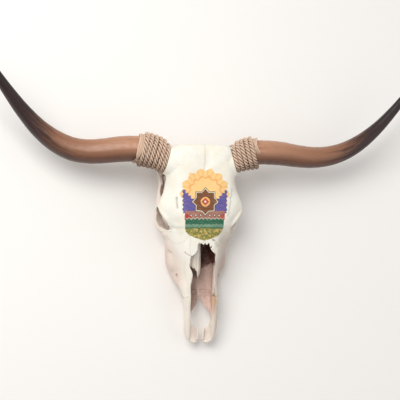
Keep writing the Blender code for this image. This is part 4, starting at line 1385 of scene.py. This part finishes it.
class SKULL_OT_horns(SkullPiece, bpy.types.Operator):
    """Sweep the two horns from their seats to their tips"""
    bl_idname = "skull.horns"
    bl_label = "Horns"

    def execute(self, context):
        ripple = context.scene.skull_horn.ripple
        material = horn_material()
        for side, node, line in ((-1, "horn_left", HORN_LEFT), (1, "horn_right", HORN_RIGHT)):
            path = smooth_path(line, HORN_STEPS)
            reach = lengths(path)
            flat = (0.0, 0.0, 1.0)
            shell = tube(path[:, :3], horn_radii(path[:, 3:4], reach, ripple), flat, HORN_SIDES)
            obj = carved(shown("dressed_" + node, mesh_of(node, [shell])), [seat_shell(side, True)])
            foot, away = nearest(points_of(obj.data), path)
            across, up = (axis[foot] for axis in square_axes(path[:, :3], flat))
            spun = np.arctan2((away * up).sum(-1), (away * across).sum(-1)) + reach[foot] / 900
            note(obj.data, "grain", np.column_stack([np.cos(spun), np.sin(spun), reach[foot] / 260]))
            note(obj.data, "along", reach[foot] * MM)
            # low leans towards the nose side, which gets painted shade.
            note(obj.data, "low", away[:, 1])
            hand_over(placed(obj, material), "horn", node)
        return {"FINISHED"}


def horn_radii(radius, reach, ripple):
    """Radius at each point round a horn: growth rings that die out along it, sin(reach) exp(-reach),
    and three sets of low ridges along it, with a rounded tip."""
    angle = np.linspace(0, 2 * np.pi, HORN_SIDES, endpoint=False)
    rings = ripple * np.sin(reach / 4.1 + 0.8 * np.sin(reach / 23)) * np.exp(-reach / 190)
    ridges = 0.22 * np.sin(5 * angle + 1) + 0.16 * np.sin(11 * angle) + 0.1 * np.sin(17 * angle + 2)
    radii = radius + rings[:, None] + ridges[None] * np.minimum(1, radius / 20)
    radii[-6:] *= np.sqrt(np.linspace(1, 0.02, 6))[:, None]
    return radii


class SKULL_OT_ropes(SkullPiece, bpy.types.Operator):
    """Lay a three-strand rope turn beside turn round each horn base"""
    bl_idname = "skull.ropes"
    bl_label = "Rope wraps"

    def execute(self, context):
        rope = context.scene.skull_rope
        material = rope_material()
        for side, node, line in ((-1, "rope_left", HORN_LEFT), (1, "rope_right", HORN_RIGHT)):
            centre, away, turn = rope_run(line, side, rope)
            flat = ramp(turn, *ROPE_FLAT[side])
            thick = rope.radius * end_taper(len(centre), ROPE_TAPER)
            out, top, _ = wrap_axis(side)
            start = unit(centre[0] - centre[8]) + ROPE_LOOSE[side] * (0.3 * top - out)
            runs = (
                rope_strands(centre, away, thick, flat, rope),
                fray(centre[-1], centre[-1] - centre[-9], away[-1], rope, END_FIBRES, 5 + side),
                fray(centre[0], start, away[0], rope, START_FIBRES, 15 + side),
            )
            shells, grains, crowns = (sum(lists, []) for lists in zip(*runs))
            obj = shown("dressed_" + node, mesh_of(node, shells))
            # low leans towards the nose side, which gets painted shade.
            note(obj.data, "low", nearest(points_of(obj.data), smooth_path(line, 200))[1][:, 1])
            note(obj.data, "grain", np.concatenate(grains))
            note(obj.data, "crown", np.concatenate(crowns))
            hand_over(placed(obj, material), "rope", node)
        return {"FINISHED"}


def nearest(points, path):
    """Index of the point of a path nearest to each point, and the unit vector from there to it."""
    foot = (-2 * points @ path[:, :3].T + (path[:, :3] ** 2).sum(-1)).argmin(axis=1)
    return foot, unit(points - path[foot, :3] + 1e-6)


def end_taper(count, length):
    """1 along a run, rounded down to a blunt end at its first and last points."""
    from_end = np.minimum(np.arange(count), np.arange(count)[::-1])
    return np.sqrt(np.clip((from_end + 1) / length, 0.02, 1))


def rope_strands(centre, away, thick, flat, rope, sides=14):
    """Three strands twisted round a centre line: each a round bar set off the line by just over half
    the rope's radius, turning once in a lay. Where flat is 1 they lie side by side on the horn instead.
    Gives the shells, and the grain and crown of each point."""
    run = unit(np.gradient(centre, axis=0))
    away = unit(away - (away * run).sum(-1, keepdims=True) * run)
    beside = np.cross(run, away)
    reach = lengths(centre)
    angle = np.linspace(0, 2 * np.pi, sides, endpoint=False)
    flat, wide = flat[:, None], thick[:, None]
    sink = STRAND_OFFSET * wide + rope.clear - 0.8
    shells, grains, crowns = [], [], []
    for third in range(3):
        phase = 2 * np.pi * (third / 3 - reach / rope.lay - 0.12 * np.sin(reach / 61))
        offset = np.cos(phase)[:, None] * away + np.sin(phase)[:, None] * beside
        level = (third - 1) * STRAND_STEP * wide * beside - sink * away
        core = centre + (1 - flat) * STRAND_OFFSET * wide * offset + flat * level
        side_way = np.cross(run, offset)
        spoke = (np.cos(angle)[None, :, None] * offset[:, None]
                 + np.sin(angle)[None, :, None] * side_way[:, None])
        swell = STRAND_RADIUS * wide * (1 + 0.06 * np.sin(reach / 7.3 + 2 * third)[:, None])
        grid = core[:, None] + swell[..., None] * spoke
        shells.append(skin(grid))
        spun = angle[None] + 2.2 * phase[:, None]
        far = np.broadcast_to(reach[:, None], spun.shape)
        grains.append(np.stack([np.cos(spun) + third * 4, np.sin(spun), far / 40], -1).reshape(-1, 3))
        crown = np.linalg.norm(grid - centre[:, None], axis=-1) / np.maximum(wide, 0.5)
        crowns.append(np.maximum(crown, flat * 0.9).ravel())
    return shells, grains, crowns


def fray(end, onward, away, rope, count, seed):
    """Loose fibres at a rope's end: thin round bars that fan out and bend down onto the horn."""
    draw = np.random.default_rng(seed)
    onward = unit(onward)
    away = unit(away - (away @ onward) * onward)
    beside = np.cross(onward, away)
    shells, grains, crowns = [], [], []
    for _ in range(count):
        length, spread, lift = draw.uniform(*FIBRE_LENGTH), draw.uniform(-1, 1), draw.uniform(-1, 0.4)
        t = np.linspace(-0.25, 1, 12)[:, None]
        path = (end + t * length * onward + (0.8 + 0.9 * t * t) * rope.radius * spread * beside
                + rope.radius * (0.45 * lift - 0.9 * t * t) * away)
        shells.append(tube(path, FIBRE_RADIUS - 0.5 * np.clip(t[:, 0], 0, 1), away, FIBRE_SIDES))
        corners = len(path) * FIBRE_SIDES
        grains.append(np.tile((draw.uniform(0, 9), 0.0, 0.0), (corners, 1)))
        crowns.append(np.full(corners, draw.uniform(0.75, 1.0)))
    return shells, grains, crowns


def rope_run(line, side, rope):
    """Centre line of a wrap, the way out from the horn at each point, and its turns. Each turn lies in
    one plane and crosses to the next on the far side, with a little slack, and every point keeps its
    distance from the horn's nearest ring."""
    out, top, nose = wrap_axis(side)
    path = smooth_path(line, HORN_FINE)
    first, last = ROPE_SPAN[side]
    turn = first + np.arange(round((last - first) * TURN_STEPS) + 1) / TURN_STEPS
    crossed = ramp(turn % 1, CROSSING, 1 - CROSSING)
    angle = 2 * math.pi * turn
    stray = rope.slack * (np.sin(angle + 1.7 * turn) + 0.5 * np.sin(2 * angle + 2.3 * turn))
    along = rope.radius + 0.5 + (np.floor(turn) - 1 + crossed) * rope.pitch + stray * ramp(turn, 1, 2)
    reach = (path[:, :3] - SEAT[side]) @ out
    centre = np.column_stack([np.interp(along, reach, path[:, k]) for k in range(3)])
    spoke = np.cos(angle)[:, None] * top + np.sin(angle)[:, None] * nose
    lift = rope.radius + rope.clear + 0.5 * rope.slack * np.sin(3.1 * turn + 1)
    length = np.full((len(turn), 1), SEAT_RADIUS)
    for _ in range(SETTLING):
        point = centre + spoke * length
        spare = np.sqrt(((point[:, None] - path[None, :, :3]) ** 2).sum(-1)) - path[:, 3]
        length += (lift - spare.min(axis=1))[:, None]
    return centre + spoke * length, spoke, turn


class SKULL_OT_stage(SkullPiece, bpy.types.Operator):
    """Lay the floor, hang the soft lights and set the camera"""
    bl_idname = "skull.stage"
    bl_label = "Stage"

    def execute(self, context):
        stage = context.scene.skull_stage
        mesh = bpy.data.meshes.new("Floor")
        corners = [(x * FLOOR_HALF, y * FLOOR_HALF, 0) for x, y in ((-1, -1), (1, -1), (1, 1), (-1, 1))]
        mesh.from_pydata(corners, [], [(0, 1, 2, 3)])
        floor = shown("Floor", mesh)
        mesh.materials.append(floor_material(stage.floor))
        world = bpy.data.worlds.new("Soft room")
        world.use_nodes = True
        air = world.node_tree.nodes["Background"].inputs
        air["Color"].default_value, air["Strength"].default_value = ROOM_COLOR, ROOM_STRENGTH
        context.scene.world = world
        context.scene.view_settings.view_transform = "Standard"
        for name, power, size, spot, tone in LAMPS:
            lamp = bpy.data.lights.new(name, "AREA")
            lamp.energy, lamp.size, lamp.color = getattr(stage, power), size, tone
            obj = shown(name, lamp)
            obj.location = spot
            obj.rotation_euler = (Vector(spot) - Vector((0, 0, 0.1))).to_track_quat("Z", "Y").to_euler()
        context.scene.camera = photo_camera(stage)
        return {"FINISHED"}


def photo_camera(stage):
    """Camera at the photograph's angle: square to the forehead, turned about its long axis, then
    rolled."""
    turned = FACE.to_3x3().normalized()
    back = turned @ Vector((-math.sin(stage.yaw), 0, -math.cos(stage.yaw)))
    right = turned @ Vector((math.cos(stage.yaw), 0, -math.sin(stage.yaw)))
    up = turned @ Vector((0, -1, 0))
    data = bpy.data.cameras.new("Camera")
    data.sensor_width = SENSOR
    data.lens = data.sensor_width * stage.distance / stage.width
    camera = shown("Camera", data)
    spot = Matrix.Translation(FACE @ Vector(AIM) + back * stage.distance)
    basis = Matrix((right, up, back)).transposed().to_4x4()
    camera.matrix_world = spot @ basis @ Matrix.Rotation(stage.roll, 4, "Z")
    return camera


class SKULL_PT_panel(bpy.types.Panel):
    """Steps and colours of the painted steer skull"""
    bl_idname = "SKULL_PT_panel"
    bl_label = "Painted Steer Skull"
    bl_space_type = "VIEW_3D"
    bl_region_type = "UI"
    bl_category = "Skull"

    def draw(self, context):
        for step in STEPS:
            self.layout.operator(step.bl_idname)
        for key, group_class in GROUPS:
            box = self.layout.box()
            for name in group_class.__annotations__:
                box.prop(getattr(context.scene, key), name)


STEPS = (SKULL_OT_stage, SKULL_OT_bone, SKULL_OT_conchae, SKULL_OT_teeth, SKULL_OT_horns,
         SKULL_OT_ropes)
GROUPS = (("skull_bone", SkullBone), ("skull_horn", SkullHorn), ("skull_rope", SkullRope),
          ("skull_paint", SkullPaint), ("skull_stage", SkullStage))


def register():
    for key, group_class in GROUPS:
        bpy.utils.register_class(group_class)
        setattr(bpy.types.Scene, key, PointerProperty(type=group_class))
    for operator in STEPS + (SKULL_PT_panel,):
        bpy.utils.register_class(operator)


def unregister():
    for operator in STEPS + (SKULL_PT_panel,):
        bpy.utils.unregister_class(operator)
    for key, group_class in GROUPS:
        delattr(bpy.types.Scene, key)
        bpy.utils.unregister_class(group_class)


def main():
    register()
    bpy.ops.skull.stage()
    bpy.ops.skull.bone()
    bpy.ops.skull.conchae()
    bpy.ops.skull.teeth()
    bpy.ops.skull.horns()
    bpy.ops.skull.ropes()


if __name__ == "__main__":
    main()
